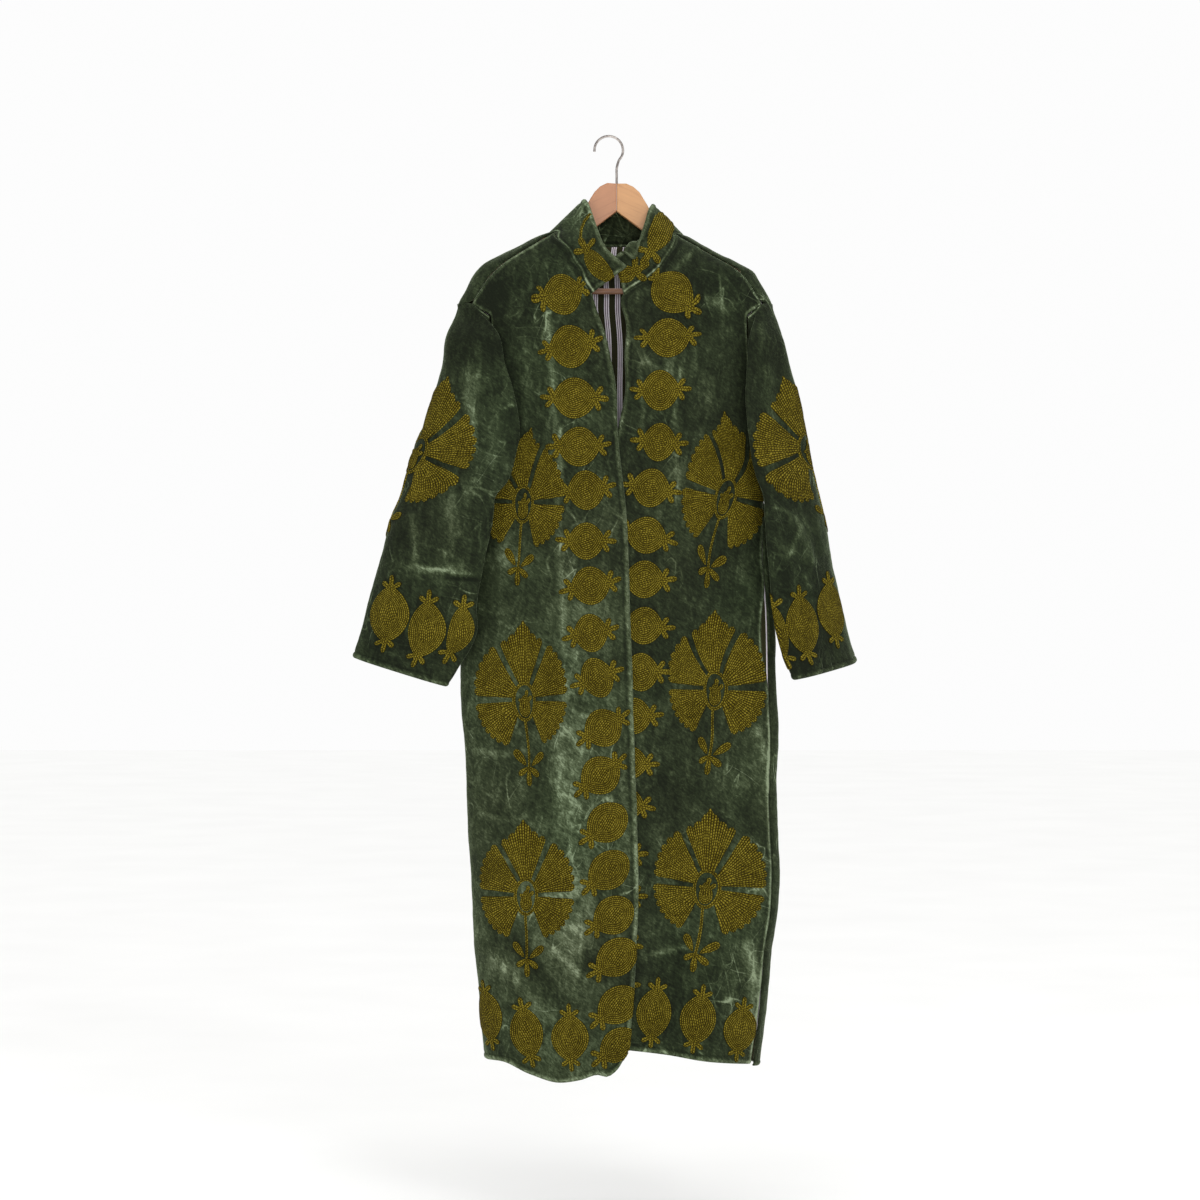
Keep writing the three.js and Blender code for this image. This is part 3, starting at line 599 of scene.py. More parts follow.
def collar_grid(lows):
    """Stations along the collar, each from its top edge down to the neck seam."""
    outward = unit(lows * np.array([1, 1, 0]) - np.array([np.mean(lows[:, 0]), 0, 0]))
    lows = lows + outward * COLLAR_STEP - np.array([0, 0, COLLAR_OVERLAP])
    place = travelled(lows)
    even = np.linspace(0, 1, COLLAR_STATIONS)
    lows = np.stack([np.interp(even, place / place[-1], lows[:, i]) for i in range(3)], 1)
    for _ in range(3):
        lows[1:-1] = (lows[:-2] + 2 * lows[1:-1] + lows[2:]) / 4
    share, *columns = COLLAR_TOPS.values()
    *tops, flaps = (eased(share, column, even) for column in columns)
    stations = []
    for low, top, flap in zip(lows, np.stack(tops, 1), flaps):
        folded = smoothstep(flap, 0.5, 6)
        stand = lerp(1, 1 / COLLAR_SHARES[3], folded)
        points = [lerp(low, top, min(1, part * stand)) for part in COLLAR_SHARES]
        points[4] = points[4] + folded * np.array([flap / 4, -FLAP_FORWARD, -flap])
        points[3] = points[3] - folded * np.array([0, FLAP_FORWARD / 3, 0])
        stations.append(points[::-1])
    around = np.array(stations)[::-1].transpose(1, 0, 2)
    return eased(COLLAR_HEIGHTS, around, spread(WIDTHS["collar"], COLLAR_ROW, True, True))


# ---------------------------------------------------------------- creases

# A crease: its width, lift and gleam, then its points, each at x and z. The gleam is tone painted
# along it: painted highlight on ridges above 0, painted shade in hollows below 0, partly also
# pressed nap.
CREASES = {
    "front_left": [
        [4.5, 2.0, 0.42, -98, -193, -90, -289, -81, -454, -74, -614, -67, -802],
        [6, 1.8, 0.4, -67, -790, -68, -862, -77, -910, -74, -1010],
        [5, 1.6, 0.35, -215, -914, -160, -925, -112, -915],
        [6, -1.6, 0.15, -205, -700, -180, -712, -130, -706],
        [7, 1.8, 0.3, -212, -800, -170, -838, -150, -900],
        [12, -3.0, -0.3, -160, -1180, -110, -1240, -70, -1300],
        [10, 2.4, 0.35, -190, -1210, -130, -1262, -92, -1330],
        [10, 2.4, 0.3, -60, -1090, -30, -1150, -34, -1220],
        [13, 2.2, 0.3, -76, -1100, -52, -1180, -62, -1290],
        [3, -1.4, -0.3, -58, -842, -30, -850, -24, -858],
        [3, 1.4, 0.5, -60, -855, -44, -866, -28, -868],
        [7, 1.2, 0.3, -128, -280, -124, -360, -130, -450],
        [12, 2.0, 0.25, -168, -520, -150, -590, -160, -650],
        [3.5, 1.0, 0.3, -93, -268, -92, -310, -94, -354],
        [4.5, 1.8, 0.45, -104, -1086, -72, -1108, -44, -1132],
        [4.5, 1.6, 0.4, -96, -1148, -62, -1176, -36, -1192],
        [5, 1.8, 0.4, -90, -1206, -58, -1236, -30, -1264],
        [4.5, 1.5, 0.4, -84, -866, -56, -896, -38, -932],
        [4.5, 1.6, 0.4, -94, -956, -66, -984, -42, -1002],
        [5, 1.6, 0.35, -200, -1010, -160, -1022, -120, -1016],
        [3.5, 1.0, 0.6, -74, -430, -73, -490, -75, -546],
    ],
    "front_right": [
        [3, 1.2, 0.7, 106, -340, 98, -397, 92, -434], [3, 1.1, 0.5, 42, -335, 49, -402, 50, -476],
        [3.5, 1.2, 0.5, 134, -163, 112, -186, 90, -208],
        [3.5, 1.0, 0.6, 99, -466, 100, -510, 98, -556],
        [3.5, 0.9, 0.5, 127, -314, 126, -334, 127, -356],
        [9, 1.8, 0.05, 150, -250, 160, -330, 156, -420],
        [8, 2.2, 0.5, 214, -874, 238, -940, 236, -990],
        [7, 2.0, 0.45, 190, -1050, 212, -1100, 230, -1140],
        [5, 1.6, 0.4, 204, -1040, 226, -1075, 240, -1090],
        [10, 2.2, 0.7, 200, -1190, 216, -1260, 208, -1340],
        [4, 1.3, 0.7, 54, -1220, 90, -1214, 122, -1204],
        [12, 2.0, 0.3, 60, -1020, 78, -1080, 80, -1150],
        [8, 1.5, 0.25, 110, -480, 118, -560, 112, -640],
        [12, -2.6, -0.2, 98, -1186, 86, -1290, 84, -1350],
        [8, 1.8, 0.3, 170, -620, 196, -660, 216, -676],
    ],
    "back": [
        [12, -2.4, -0.15, -150, -330, -70, -352, 20, -346],
        [10, 2.0, 0.3, -60, -420, 30, -408, 140, -430],
        [9, 1.8, 0.3, -190, -700, -120, -735, -50, -728],
        [10, 2.0, 0.35, 40, -760, 110, -790, 190, -772],
        [5, 1.8, 0.6, -20, -520, -12, -760, -22, -1010],
        [7, 2.0, 0.5, 120, -900, 140, -1040, 128, -1180],
        [8, 2.0, 0.45, -140, -960, -120, -1080, -134, -1240],
        [14, -2.6, -0.2, -90, -1180, -30, -1230, 20, -1300],
    ],
    "sleeve_left": [
        [6, 1.0, 0.5, -201, -304, -197, -350, -195, -397],
        [2, 0.8, 0.9, -158, -412, -150, -406, -141, -404],
        [2, 0.9, 0.8, -210, -514, -198, -518, -186, -525],
        [2, -1.0, 0.5, -290, -607, -250, -620, -217, -637],
        [2.5, 1.6, 0.8, -300, -642, -232, -652, -192, -656],
        [3, -2.2, -0.8, -250, -660, -216, -663, -190, -664],
        [6, 1.2, 0.6, -294, -560, -290, -600, -288, -642],
        [5, 1.0, 0.4, -240, -690, -236, -720, -214, -700],
        [4, 1.8, 0.5, -322, -640, -270, -652, -205, -640],
        [5, -2.0, -0.2, -318, -664, -260, -672, -214, -676],
        [9, 2.2, 0.6, -214, -330, -205, -420, -214, -500],
        [9, 2.0, 0.4, -170, -400, -176, -470, -196, -520],
        [12, 2.4, 0.35, -246, -520, -230, -600, -250, -690],
        [6, -1.8, 0.1, -204, -560, -230, -600, -244, -640],
        [8, 1.8, 0.4, -330, -700, -300, -738, -250, -752],
    ],
    "sleeve_right": [
        [5, 1.0, 0.5, 224, -276, 226, -300, 222, -330],
        [3, 1.2, 0.8, 262, -635, 276, -605, 286, -575],
        [2, 0.8, 0.7, 284, -560, 288, -575, 300, -590],
        [2.5, 1.0, 0.6, 240, -556, 256, -560, 268, -565],
        [3, 1.0, 0.5, 286, -650, 292, -668, 302, -680],
        [5, 1.0, 0.4, 300, -585, 296, -620, 306, -650],
        [8, 2.0, 0.5, 232, -330, 240, -420, 236, -510],
        [9, 2.2, 0.45, 262, -560, 286, -600, 300, -650],
        [5, 1.6, 0.35, 236, -600, 262, -622, 296, -628],
        [5, -1.8, -0.1, 246, -676, 270, -690, 312, -684],
        [8, 1.6, 0.3, 300, -520, 312, -580, 322, -640],
    ],
}


# Seams: an edge, how deep it sinks and how far from the edge that reaches.
TOP_SEAM = ("top", 1.0, 4)
SIDE_SEAM = (0.5, 4)
SLEEVE_SEAM = ("top", 1.8, 11)
# Lines painted beside the collar's seam: their distance from it, width and gleam. A gleam above 0
# is a painted highlight on a ridge, below 0 painted shade in a groove.
COLLAR_SEAM_PAINTED_LIGHT = [(1.2, 1.4, 0.5), (4.4, 1.2, -1.4), (7.8, 1.3, 1.3), (10.8, 1.4, -0.5)]


def finish_cloth(cloth, edges=(), seams=(), behind=False, roughness=1.0):
    """Presses the creases, the crush of the pile, the turned edges and the seams into a cloth, and
    paints highlight and shade along the creases, seams and edges.
    """
    grid = cloth.grid
    height, nap_and_painted_light = crease_relief(CREASES.get(cloth.name, ()), grid[..., 0], grid[..., 2])
    facing = cloth.normal[..., 1]
    side = smoothstep(facing if behind else -facing, -0.1, 0.3)
    soft = 1.5 * ripple(grid, 46, (1, 1, 1.8), 1) + 0.8 * ripple(grid, 19, (1, 1, 1.3), 2)
    fine = 0.3 * ripple(grid, 8.5, seed=3)
    near, sewn = cloth.from_edges(edges), cloth.from_edges([seam[0] for seam in seams])
    rolled = sum(seam_roll(cloth.from_edge(edge), depth, reach) for edge, depth, reach in seams)
    calm = smoothstep(np.minimum(near, sewn), 0, 16)
    # Painted highlight on the ridge beside each seam, and painted shade in its groove.
    nap_and_painted_light = nap_and_painted_light + bell(sewn, SEAM_HIGHLIGHT_AT, 2.0) - 0.2 * bell(sewn, 0, 1.0)
    cloth.press(height * side + roughness * (soft + fine) * (0.35 + 0.65 * calm), nap_and_painted_light * side)
    cloth.press(rolled)
    # Painted highlight on the rolled edge, and painted shade in the stitched groove behind it.
    cloth.press(turned_edge(near), 0.55 * bell(near, 2.5, 2.5) - 0.3 * bell(near, 8, 1.4))
    return cloth


def make_front(side):
    across = spread(WIDTHS["front"], CLOTH_STEP, side == "right", side == "left")
    turn, z = front_pattern(side, across)
    steps = lap_step(side, body_point(turn, z)[..., 0], z)
    grid = np.dstack([turn, steps, body_point(turn, z, steps)])
    grid = finer_rows(grid, LENGTHS["front"])
    cloth = Cloth("front_" + side, body_point(grid[..., 0], grid[..., 4], grid[..., 1]))
    opening = "right" if side == "left" else "left"
    finish_cloth(cloth, ["bottom", opening], [TOP_SEAM, (side, *SIDE_SEAM)])
    x, z = cloth.grid[..., 0], cloth.grid[..., 2]
    inner = np.interp(-z, -SLEEVES[side]["in_z"], SLEEVES[side]["in_x"])
    # Painted shade on the body beside the sleeve, where the sleeve hangs over it.
    shade_beside_sleeve = bell(np.maximum((inner - x) * WAY[side], 0), 0, 16) * smoothstep(z, -810, -720)
    # Painted shadow on the front just beyond the collar's lower edge.
    shadow_under_collar = bell(cloth.from_edge(opening), 4.5, 2.2) * smoothstep(z, -262, -240)
    # Paler and darker stretches of the fronts' velvet tone, set per front.
    low = smoothstep(-z, 620, 1180)
    if side == "left":
        paler_band = smoothstep(-z, 480, 700) * (1 - 0.65 * smoothstep(-z, 840, 1100))
        pale = 0.1 * low + 0.24 * bell(x, -52, 30) * paler_band + 0.1 * smoothstep(-z, 560, 700)
    else:
        chest = bell(x, 150, 45) * bell(z, -235, 60)
        pale = 0.06 * low + 0.16 * bell(x, 190, 34) * low - 0.1 - 0.3 * chest
    cloth.nap_and_painted_light = cloth.nap_and_painted_light + pale - 0.3 * shade_beside_sleeve - 0.9 * shadow_under_collar
    return cloth


def on_back(grid):
    return body_point(grid[..., 0], grid[..., 3])[:, ::-1]


def make_back():
    turn, z = back_pattern(spread(WIDTHS["back"], CLOTH_STEP + 1))
    grid = finer_rows(np.dstack([turn, body_point(turn, z)]), LENGTHS["back"])
    seams = [TOP_SEAM, ("left", *SIDE_SEAM), ("right", *SIDE_SEAM)]
    return finish_cloth(Cloth("back", on_back(grid)), ["bottom"], seams, behind=True)


def make_sleeve(side):
    cloth = Cloth("sleeve_" + side, sleeve_grid(side))
    finish_cloth(cloth, ["bottom"], [SLEEVE_SEAM], roughness=0.9)
    # A painted highlight on the ridge beside the sleeve's seam.
    seam = bell(cloth.from_edge("top"), SEAM_HIGHLIGHT_AT, 2.0)
    cloth.nap_and_painted_light = 0.9 * cloth.nap_and_painted_light - SLEEVE_DARKENING[side] + 0.3 * seam
    return cloth


def make_collar(front_left, front_right, back):
    cloth = Cloth("collar", collar_grid(neck_edge(front_left, front_right, back)))
    finish_cloth(cloth, ["left", "right", "top", "bottom"], roughness=0.5)
    # Painted highlights on the ridges beside the collar's seam, and painted shade in its grooves.
    for distance, width, painted_gleam in COLLAR_SEAM_PAINTED_LIGHT:
        cloth.nap_and_painted_light += painted_gleam * bell(cloth.from_edge("bottom"), distance, width)
    return cloth


def make_lining():
    """The striped lining on the inside of the back, where the open throat shows it."""
    across = spread(WIDTHS["back"], CLOTH_STEP + 1)
    columns = [i for i, share in enumerate(across) if 1 / 3 - 1e-3 <= share <= 2 / 3 + 1e-3]
    turn, z = back_pattern(across)
    middle = np.dstack([turn, body_point(turn, z)])[: SHOULDER_ROWS + ARMHOLE_ROWS, columns]
    at = row_places(middle)
    points = on_back(eased(at, middle, np.linspace(0, at[-1], 60)))
    lining = Cloth("back_lining", points, LINING_THICKNESS)
    lining.press(-LINING_DEPTH - 0.2 + 0.25 * ripple(points, 40, seed=9))
    return lining


def make_pocket_facing():
    top, bottom = POCKET["top"] + POCKET["overlap"], POCKET["bottom"] - POCKET["overlap"]
    z = np.linspace(top, bottom, 34)[:, None] * np.ones((1, 16))
    turn = side_seam(QUARTER, SEAM_TURNS["right"], z) + np.linspace(-0.3, 0.12, 16)[None, :]
    return Cloth("pocket_facing", body_point(turn, z, -POCKET["depth"]), LINING_THICKNESS)


# ---------------------------------------------------------------- embroidery, flat on the table

EDGE_RINGS = [(0.0, -0.4), (0.3, 0.8), (0.9, 1.3), (2.0, 1.65)]  # inset from the outline, height
THREAD_HEIGHT = 1.65


class Flat:
    """A piece of embroidery laid flat: points, heights, faces and stitch places."""

    def __init__(self, points, heights, faces, stitches):
        self.points = np.array(points, float)
        self.heights = np.array(heights, float)
        self.faces = faces
        self.stitches = stitches

    def placed(self, x=0.0, y=0.0, angle=0.0, scale=1.0, left=1.0, right=1.0):
        """Turned and moved. left and right are the widths that a fold leaves of each half."""
        a = math.radians(angle)
        turn = np.array([[math.cos(a), math.sin(a)], [-math.sin(a), math.cos(a)]])
        points = self.points * scale
        points[:, 0] *= np.where(points[:, 0] < 0, left, right)
        stitches = [[(u * scale, v * scale) for u, v in corners] for corners in self.stitches]
        return Flat(points @ turn + np.array([x, y]), self.heights, self.faces, stitches)


def fan_row_width(distance):
    """Fanned rows stay about as wide further out, because more of them begin there."""
    return 26 if distance < 38 else 50 if distance < 62 else 78


def pad(outline, centre, rows="rings", angle=0.0, lift=0.0, inner=(0.8, 0.6, 0.45, 0.22)):
    """A filled shape. Its rows run round it, straight across it, or out from its origin."""
    outline, centre = np.array(outline, float), np.array(centre, float)
    count = len(outline)
    reach = outline - centre
    length = np.linalg.norm(reach, axis=1)
    arc = travelled(np.vstack([outline, outline[:1]]))
    rings, heights = [], []
    for inset, height in EDGE_RINGS:
        rings.append(centre + reach * (1 - np.minimum(inset / length, 0.75))[:, None])
        heights.append(height + (lift if height > 0 else 0))
    last = rings[-1] - centre
    for share in inner:
        rings.append(centre + last * share)
        heights.append(THREAD_HEIGHT + lift)
    depths = [length - np.linalg.norm(ring - centre, axis=1) for ring in rings]
    points = np.vstack([*rings, centre[None, :]])
    heights = np.append(np.repeat(heights, count), THREAD_HEIGHT + lift)
    along = np.array([math.cos(math.radians(angle)), math.sin(math.radians(angle))])

    def straight(spots):
        return list(zip(spots @ np.array([-along[1], along[0]]), spots @ along))

    def fanned(spots):
        distance = np.hypot(spots[:, 0], spots[:, 1])
        turn = np.arctan2(spots[:, 0], spots[:, 1])
        turn = turn - turn[0] + np.angle(np.exp(1j * turn[0]))
        return list(zip(turn * fan_row_width(distance.mean()), distance))

    laid = fanned if rows == "fan" else straight
    faces, stitches = [], []
    for ring in range(len(rings)):
        for k in range(count):
            n = (k + 1) % count
            if ring == len(rings) - 1:
                corners = [ring * count + k, ring * count + n, len(rings) * count]
            else:
                low, high = ring * count, (ring + 1) * count
                corners = [low + k, low + n, high + n, high + k]
            faces.append(corners)
            if rows == "rings" and ring < len(rings) - 2:
                ends = ((ring, k, k), (ring, n, k + 1), (ring + 1, n, k + 1), (ring + 1, k, k))
                stitches.append([(depths[r][i], arc[j]) for r, i, j in ends])
            else:
                stitches.append(laid(points[corners]))
    return Flat(points, heights, faces, stitches)


def band(path, width, closed=False, lift=0.0):
    """A few rows of chain stitch laid along a path."""
    path = np.array(path, float)
    ahead = np.roll(path, -1, 0) if closed else np.vstack([path[1:], 2 * path[-1] - path[-2]])
    behind = np.roll(path, 1, 0) if closed else np.vstack([2 * path[0] - path[1], path[:-1]])
    way = unit(ahead - behind)
    side = np.stack([-way[:, 1], way[:, 0]], 1)
    half = width / 2
    across = np.array([half, half - 0.5, 0, 0.5 - half, -half])
    heights = np.array([-0.4, 1.0 + lift, 1.5 + lift, 1.0 + lift, -0.4])
    count, wide = len(path), len(across)
    points = (path[:, None] + side[:, None] * across[None, :, None]).reshape(-1, 2)
    at = travelled(np.vstack([path, path[:1]]))
    faces, stitches = [], []
    for i in range(count if closed else count - 1):
        n = (i + 1) % count
        for j in range(wide - 1):
            faces.append([i * wide + j, i * wide + j + 1, n * wide + j + 1, n * wide + j])
            left, right = across[j : j + 2]
            stitches.append([(left, at[i]), (right, at[i]), (right, at[i + 1]), (left, at[i + 1])])
    return Flat(points, np.tile(heights, count), faces, stitches)


def oval(width, height, left=0.15, right=0.15, count=44):
    """An oval that tapers towards its ends, more where left or right is more."""
    t = np.linspace(0, 2 * math.pi, count, endpoint=False)
    pinch = np.where(np.cos(t) > 0, right, left)
    return np.stack([width / 2 * np.cos(t), height / 2 * np.sin(t) * np.abs(np.sin(t)) ** pinch], 1)


def polar(radii, degrees):
    turn = np.radians(degrees)
    return np.stack([radii * np.cos(turn), radii * np.sin(turn)], -1)


def lobe(x, y, angle, length, width, lift=0.0):
    """A finger of stitches that widens towards its round tip."""
    t = np.linspace(0, 2 * math.pi, 18, endpoint=False)
    along = length * (1 - np.cos(t)) / 2
    across = -width / 2 * np.sin(t) * (0.42 + 0.75 * np.sin(t / 2) ** 1.6)
    outline = np.stack([along, across], 1)
    if signed_area(outline) < 0:
        outline = outline[::-1]
    return pad(outline, (length * 0.55, 0), lift=lift, inner=(0.45,)).placed(x, y, angle)


def signed_area(outline):
    x, y = np.asarray(outline, float).T
    return 0.5 * float(np.sum(x * np.roll(y, -1) - np.roll(x, -1) * y))


# How far back a finger of a crown starts, its turn, length, width and lift.
CROWN = [
    (3, 58, 19, 9.5, 0.1), (4, 3, 23, 9.5, 0.25), (3, -56, 19, 9.5, 0.18), (8, 0, 15, 12, 0.3),
]


def crown(x, way, size=1.0, lean=0.0):
    """Three fingers and a short neck at one end of a fruit."""
    base = 0 if way > 0 else 180
    parts = []
    for inset, turn, length, width, lift in CROWN:
        angle = base + turn + (lean if turn else 0)
        parts.append(lobe(x - way * inset, 0, angle, length * size, width * size, lift))
    return parts


def pomegranate(width, height, crowns=("left", "right"), size=1.0, lean=0.0, rows="rings"):
    left, right = (0.5 if end in crowns else 0.12 for end in WAY)
    parts = [pad(oval(width + 4, height, left, right), (0, 0), rows, 20 if rows == "rings" else 0)]
    for end in ("right", "left"):
        if end in crowns:
            parts += crown(WAY[end] * width / 2, WAY[end], size, lean)
    return parts


PETALS = table("start end start_radius end_radius scallops", [
    [66, 116, 94, 92, 6], [119, 176, 94, 80, 6], [181, 248, 80, 72, 7], [292, 359, 72, 80, 7],
    [4, 62, 80, 94, 6],
])
HOLE = {"width": 15.0, "top": 22.0, "bottom": 28.0}
PETAL_SLIT = 2.0
PETAL_MIDDLE = 52.0  # from the flower's centre
STEM = (-27, -100)  # its top and foot
FLOWER_LOBES = [(2, 2, 84, 13, 8, 0.2), (4, -4, 52, 13, 8, 0.25), (-4, -6, 124, 10, 6, 0.15)]
LEAVES = [
    (-4, -98, 124, 30, 14, 0.2), (5, -99, 38, 31, 14, 0.2), (0, -100, 215, 20, 11, 0.1),
    (0, -101, 270, 28, 11, 0.2), (0, -100, 322, 24, 12, 0.3),
]


def hole_radius(degrees):
    a = np.radians(degrees)
    tall = np.where(np.sin(a) > 0, HOLE["top"], HOLE["bottom"])
    return 1 / np.sqrt((np.cos(a) / HOLE["width"]) ** 2 + (np.sin(a) / tall) ** 2)


def petal(start, end, start_radius, end_radius, scallops, finial=False):
    share = np.linspace(0, 1, 61)
    arc = np.abs(np.sin(math.pi * share * scallops)) ** 0.7
    outer = lerp(start_radius, end_radius, share) - 4.2 + 6.0 * arc + 2.0 * np.sin(math.pi * share)
    if finial:
        outer = outer + 15 * bell(share, 0.5, 0.2) + 12 * bell(share, 0.5, 0.032)
    turns = np.linspace(end, start, 9)
    inner = hole_radius(turns) + 3
    side_shares = np.linspace(0.12, 0.88, 7)
    down, up = lerp(outer[-1], inner[0], side_shares), lerp(inner[-1], outer[0], side_shares)
    radii = [outer, down, inner, up]
    slit = [np.degrees(PETAL_SLIT / radius) for radius in radii]
    angles = [
        lerp(start + slit[0], end - slit[0], share),
        end - slit[1],
        turns - slit[2] * (1 - 2 * np.linspace(0, 1, 9)),
        start + slit[3],
    ]
    outline = polar(np.concatenate(radii), np.concatenate(angles))
    middle = polar(PETAL_MIDDLE, (start + end) / 2)
    return pad(outline, middle, "fan", inner=(0.85, 0.66, 0.45, 0.22))


def flower(bend=0.0):
    """Five fanned petals round a bud in an open ring, on a stem with leaves. The stem may bend."""
    parts = [petal(*row, finial=i == 0) for i, row in enumerate(zip(*PETALS.values()))]
    angles = np.linspace(0, 360, 40, endpoint=False)
    parts.append(band(polar(hole_radius(angles) + 2.4, angles), 5.2, True, 0.2))
    t = np.linspace(0, 2 * math.pi, 30, endpoint=False)
    bud = np.stack([9.5 * np.cos(t) * (1 - 0.25 * np.sin(t)), -9 + 17 * np.sin(t)], 1)
    parts.append(pad(bud, (0, -9), "rings", angle=90, lift=0.1))
    parts += [lobe(*row) for row in FLOWER_LOBES]
    heights = np.linspace(*STEM, 16)
    bent = bend * ((heights - STEM[0]) / (STEM[1] - STEM[0])) ** 1.5
    parts.append(band(np.stack([1.2 * np.sin(heights / 17) + bent, heights], 1), 4.2))
    return parts + [lobe(bend + x, *row) for x, *row in LEAVES]


class Embroidery:
    """Carries flat embroidery over a cloth, and joins it into one mesh."""

    def __init__(self, cloth):
        self.cloth = cloth
        self.parts = []

    def sew(self, parts, x, z, angle=0.0, scale=1.0, left=1.0, right=1.0, behind=False):
        row, column = self.cloth.find(x, z, behind)
        for part in parts:
            part = part.placed(angle=angle, scale=scale, left=left, right=right)
            self.parts.append((part, row, column))

    def mesh(self):
        cloth = self.cloth
        points = np.vstack([part.points for part, _, _ in self.parts])
        heights = np.concatenate([part.heights for part, _, _ in self.parts])
        starts = [np.tile([row, column], (len(part.points), 1)) for part, row, column in self.parts]
        row, column = cloth.walk(*np.vstack(starts).T, *points.T)
        normal = unit(cloth.read(cloth.normal, row, column))
        raised = normal * (cloth.thickness / 2 + heights)[:, None]
        place = cloth.read(cloth.grid, row, column) + raised
        last = np.array(cloth.grid.shape[:2]) - 1.001
        over = (row <= 0.001) | (column <= 0.001) | (row >= last[0]) | (column >= last[1])
        faces, stitches, base = [], [], 0
        for part, _, _ in self.parts:
            for face, corners in zip(part.faces, part.stitches):
                placed = [base + c for c in face]
                if not all(over[placed]):
                    faces.append(placed)
                    stitches += corners
            base += len(part.points)
        mesh = bpy.data.meshes.new("embroidery_" + cloth.name)
        mesh.from_pydata((place * MM).tolist(), [], faces)
        layer = mesh.uv_layers.new(name="stitch")
        layer.data.foreach_set("uv", (np.array(stitches) * MM).ravel())
        mesh.shade_smooth()
        return mesh


# ---------------------------------------------------------------- where the motifs are sewn

FRUIT_COLUMNS = "x z width height tilt"
FRUITS = {
    "left": table(FRUIT_COLUMNS, [
        [-70, -239, 58, 62, 4], [-58, -319, 64, 65, 3], [-52, -394, 66, 62, 0],
        [-47, -464, 62, 60, 0], [-38, -533, 55, 60, 2], [-34, -605, 54, 56, 3],
        [-30, -672, 58, 58, 9], [-26, -743, 50, 58, 8], [-19, -811, 48, 62, 20],
        [-10, -883, 58, 58, 26], [-12, -955, 62, 58, 34], [-8, -1024, 66, 58, 38],
        [0, -1095, 68, 56, 38], [6, -1159, 64, 57, 32], [10, -1224, 68, 56, 36],
        [12, -1292, 68, 55, 38], [14, -1352, 62, 50, 38],
    ]),
    "right": table(FRUIT_COLUMNS, [
        [93, -236, 69, 64, -2], [86, -306, 64, 59, -6], [75, -381, 56, 61, -4],
        [71, -457, 50, 58, -3], [63, -526, 56, 59, -6], [55, -597, 60, 56, -6],
        [53, -665, 58, 57, -2], [50, -734, 56, 57, -4], [46, -801, 52, 58, -2],
        [35, -868, 52, 55, 0], [31, -935, 52, 50, -4], [22, -996, 54, 52, -6],
        [12, -1069, 54, 54, -4], [12, -1131, 54, 54, -4], [4, -1200, 54, 54, -4],
        [-2, -1264, 54, 54, -4],
    ]),
}
HEM_FRUITS = table(FRUIT_COLUMNS, [
    [-182, -1315, 74, 54, 96], [-124, -1337, 74, 50, 98], [-59, -1341, 68, 58, 92],
    [67, -1306, 74, 54, 86], [129, -1313, 72, 54, 85], [192, -1332, 65, 57, 88],
])
WRAPPED_FRUITS = 11  # from here down they run over the front edge
FLOWERS = table("x z angle left right scale", [
    [-127, -547, 2, 0.92, 0.77, 0.97], [-124, -841, 0, 0.98, 0.78, 1.00],
    [-126, -1130, -1, 0.98, 0.95, 0.95], [173, -538, -6, 0.73, 0.80, 1.10],
    [156, -827, -5, 0.84, 1.06, 1.00], [143, -1118, -5, 0.97, 1.20, 0.99],
])


def sew_front(cloth):
    work, on_left = Embroidery(cloth), cloth.side == "left"
    for i, (x, z, width, height, tilt) in enumerate(zip(*FRUITS[cloth.side].values())):
        ends = ["left"] if on_left and i >= WRAPPED_FRUITS else ["left", "right"]
        fruit = pomegranate(width, height, ends, 1.04, 9 * math.sin(2.1 * i + 0.6))
        work.sew(fruit, x, z, tilt)
    for x, z, length, width, tilt in zip(*HEM_FRUITS.values()):
        if (x < 0) == on_left:
            work.sew(pomegranate(length, width, size=0.92), x, z, tilt)
    for x, z, angle, left, right, scale in zip(*FLOWERS.values()):
        if (x < 0) == on_left:
            work.sew(flower(), x, z, angle, scale, left, right)
    return work.mesh()


def sew_back(cloth):
    work = Embroidery(cloth)
    for x, way in ((-118, 1), (140, -1)):
        for z, turn, scale in ((-430, 4, 1.0), (-770, -3, 1.0), (-1110, 5, 0.95)):
            work.sew(flower(), x, z, way * turn, scale, behind=True)
    for i in range(14):
        fruit = pomegranate(60, 56, size=0.94, lean=8 * math.sin(i))
        work.sew(fruit, 12 + 3 * math.sin(1.7 * i), -250 - 76 * i, 3, behind=True)
    for i in range(7):
        fruit = pomegranate(70, 54, size=0.92)
        work.sew(fruit, -176 + 62 * i, -1312 - 5 * math.sin(i), 90, behind=True)
    return work.mesh()


# Each sleeve's flower: how far its stem bends, and how it is sewn on. Its cuff's fruits follow.
SLEEVE_FLOWERS = {"left": (24, (-289, -473, -11, 1.05)), "right": (-24, (296, -467, 11, 1.0, 1.25))}
CUFF_FRUITS = {
    "left": [(-328, -714, 82, 66, 96), (-271, -737, 84, 58, 92), (-221, -741, 74, 38, 86)],
    "right": [(332, -710, 82, 64, 84), (284, -731, 86, 60, 86), (248, -740, 80, 30, 91)],
}


def sew_sleeve(cloth):
    work = Embroidery(cloth)
    bend, place = SLEEVE_FLOWERS[cloth.side]
    work.sew(flower(bend), *place)
    for x, z, length, width, tilt in CUFF_FRUITS[cloth.side]:
        work.sew(pomegranate(length, width, size=0.98), x, z, tilt)
    return work.mesh()


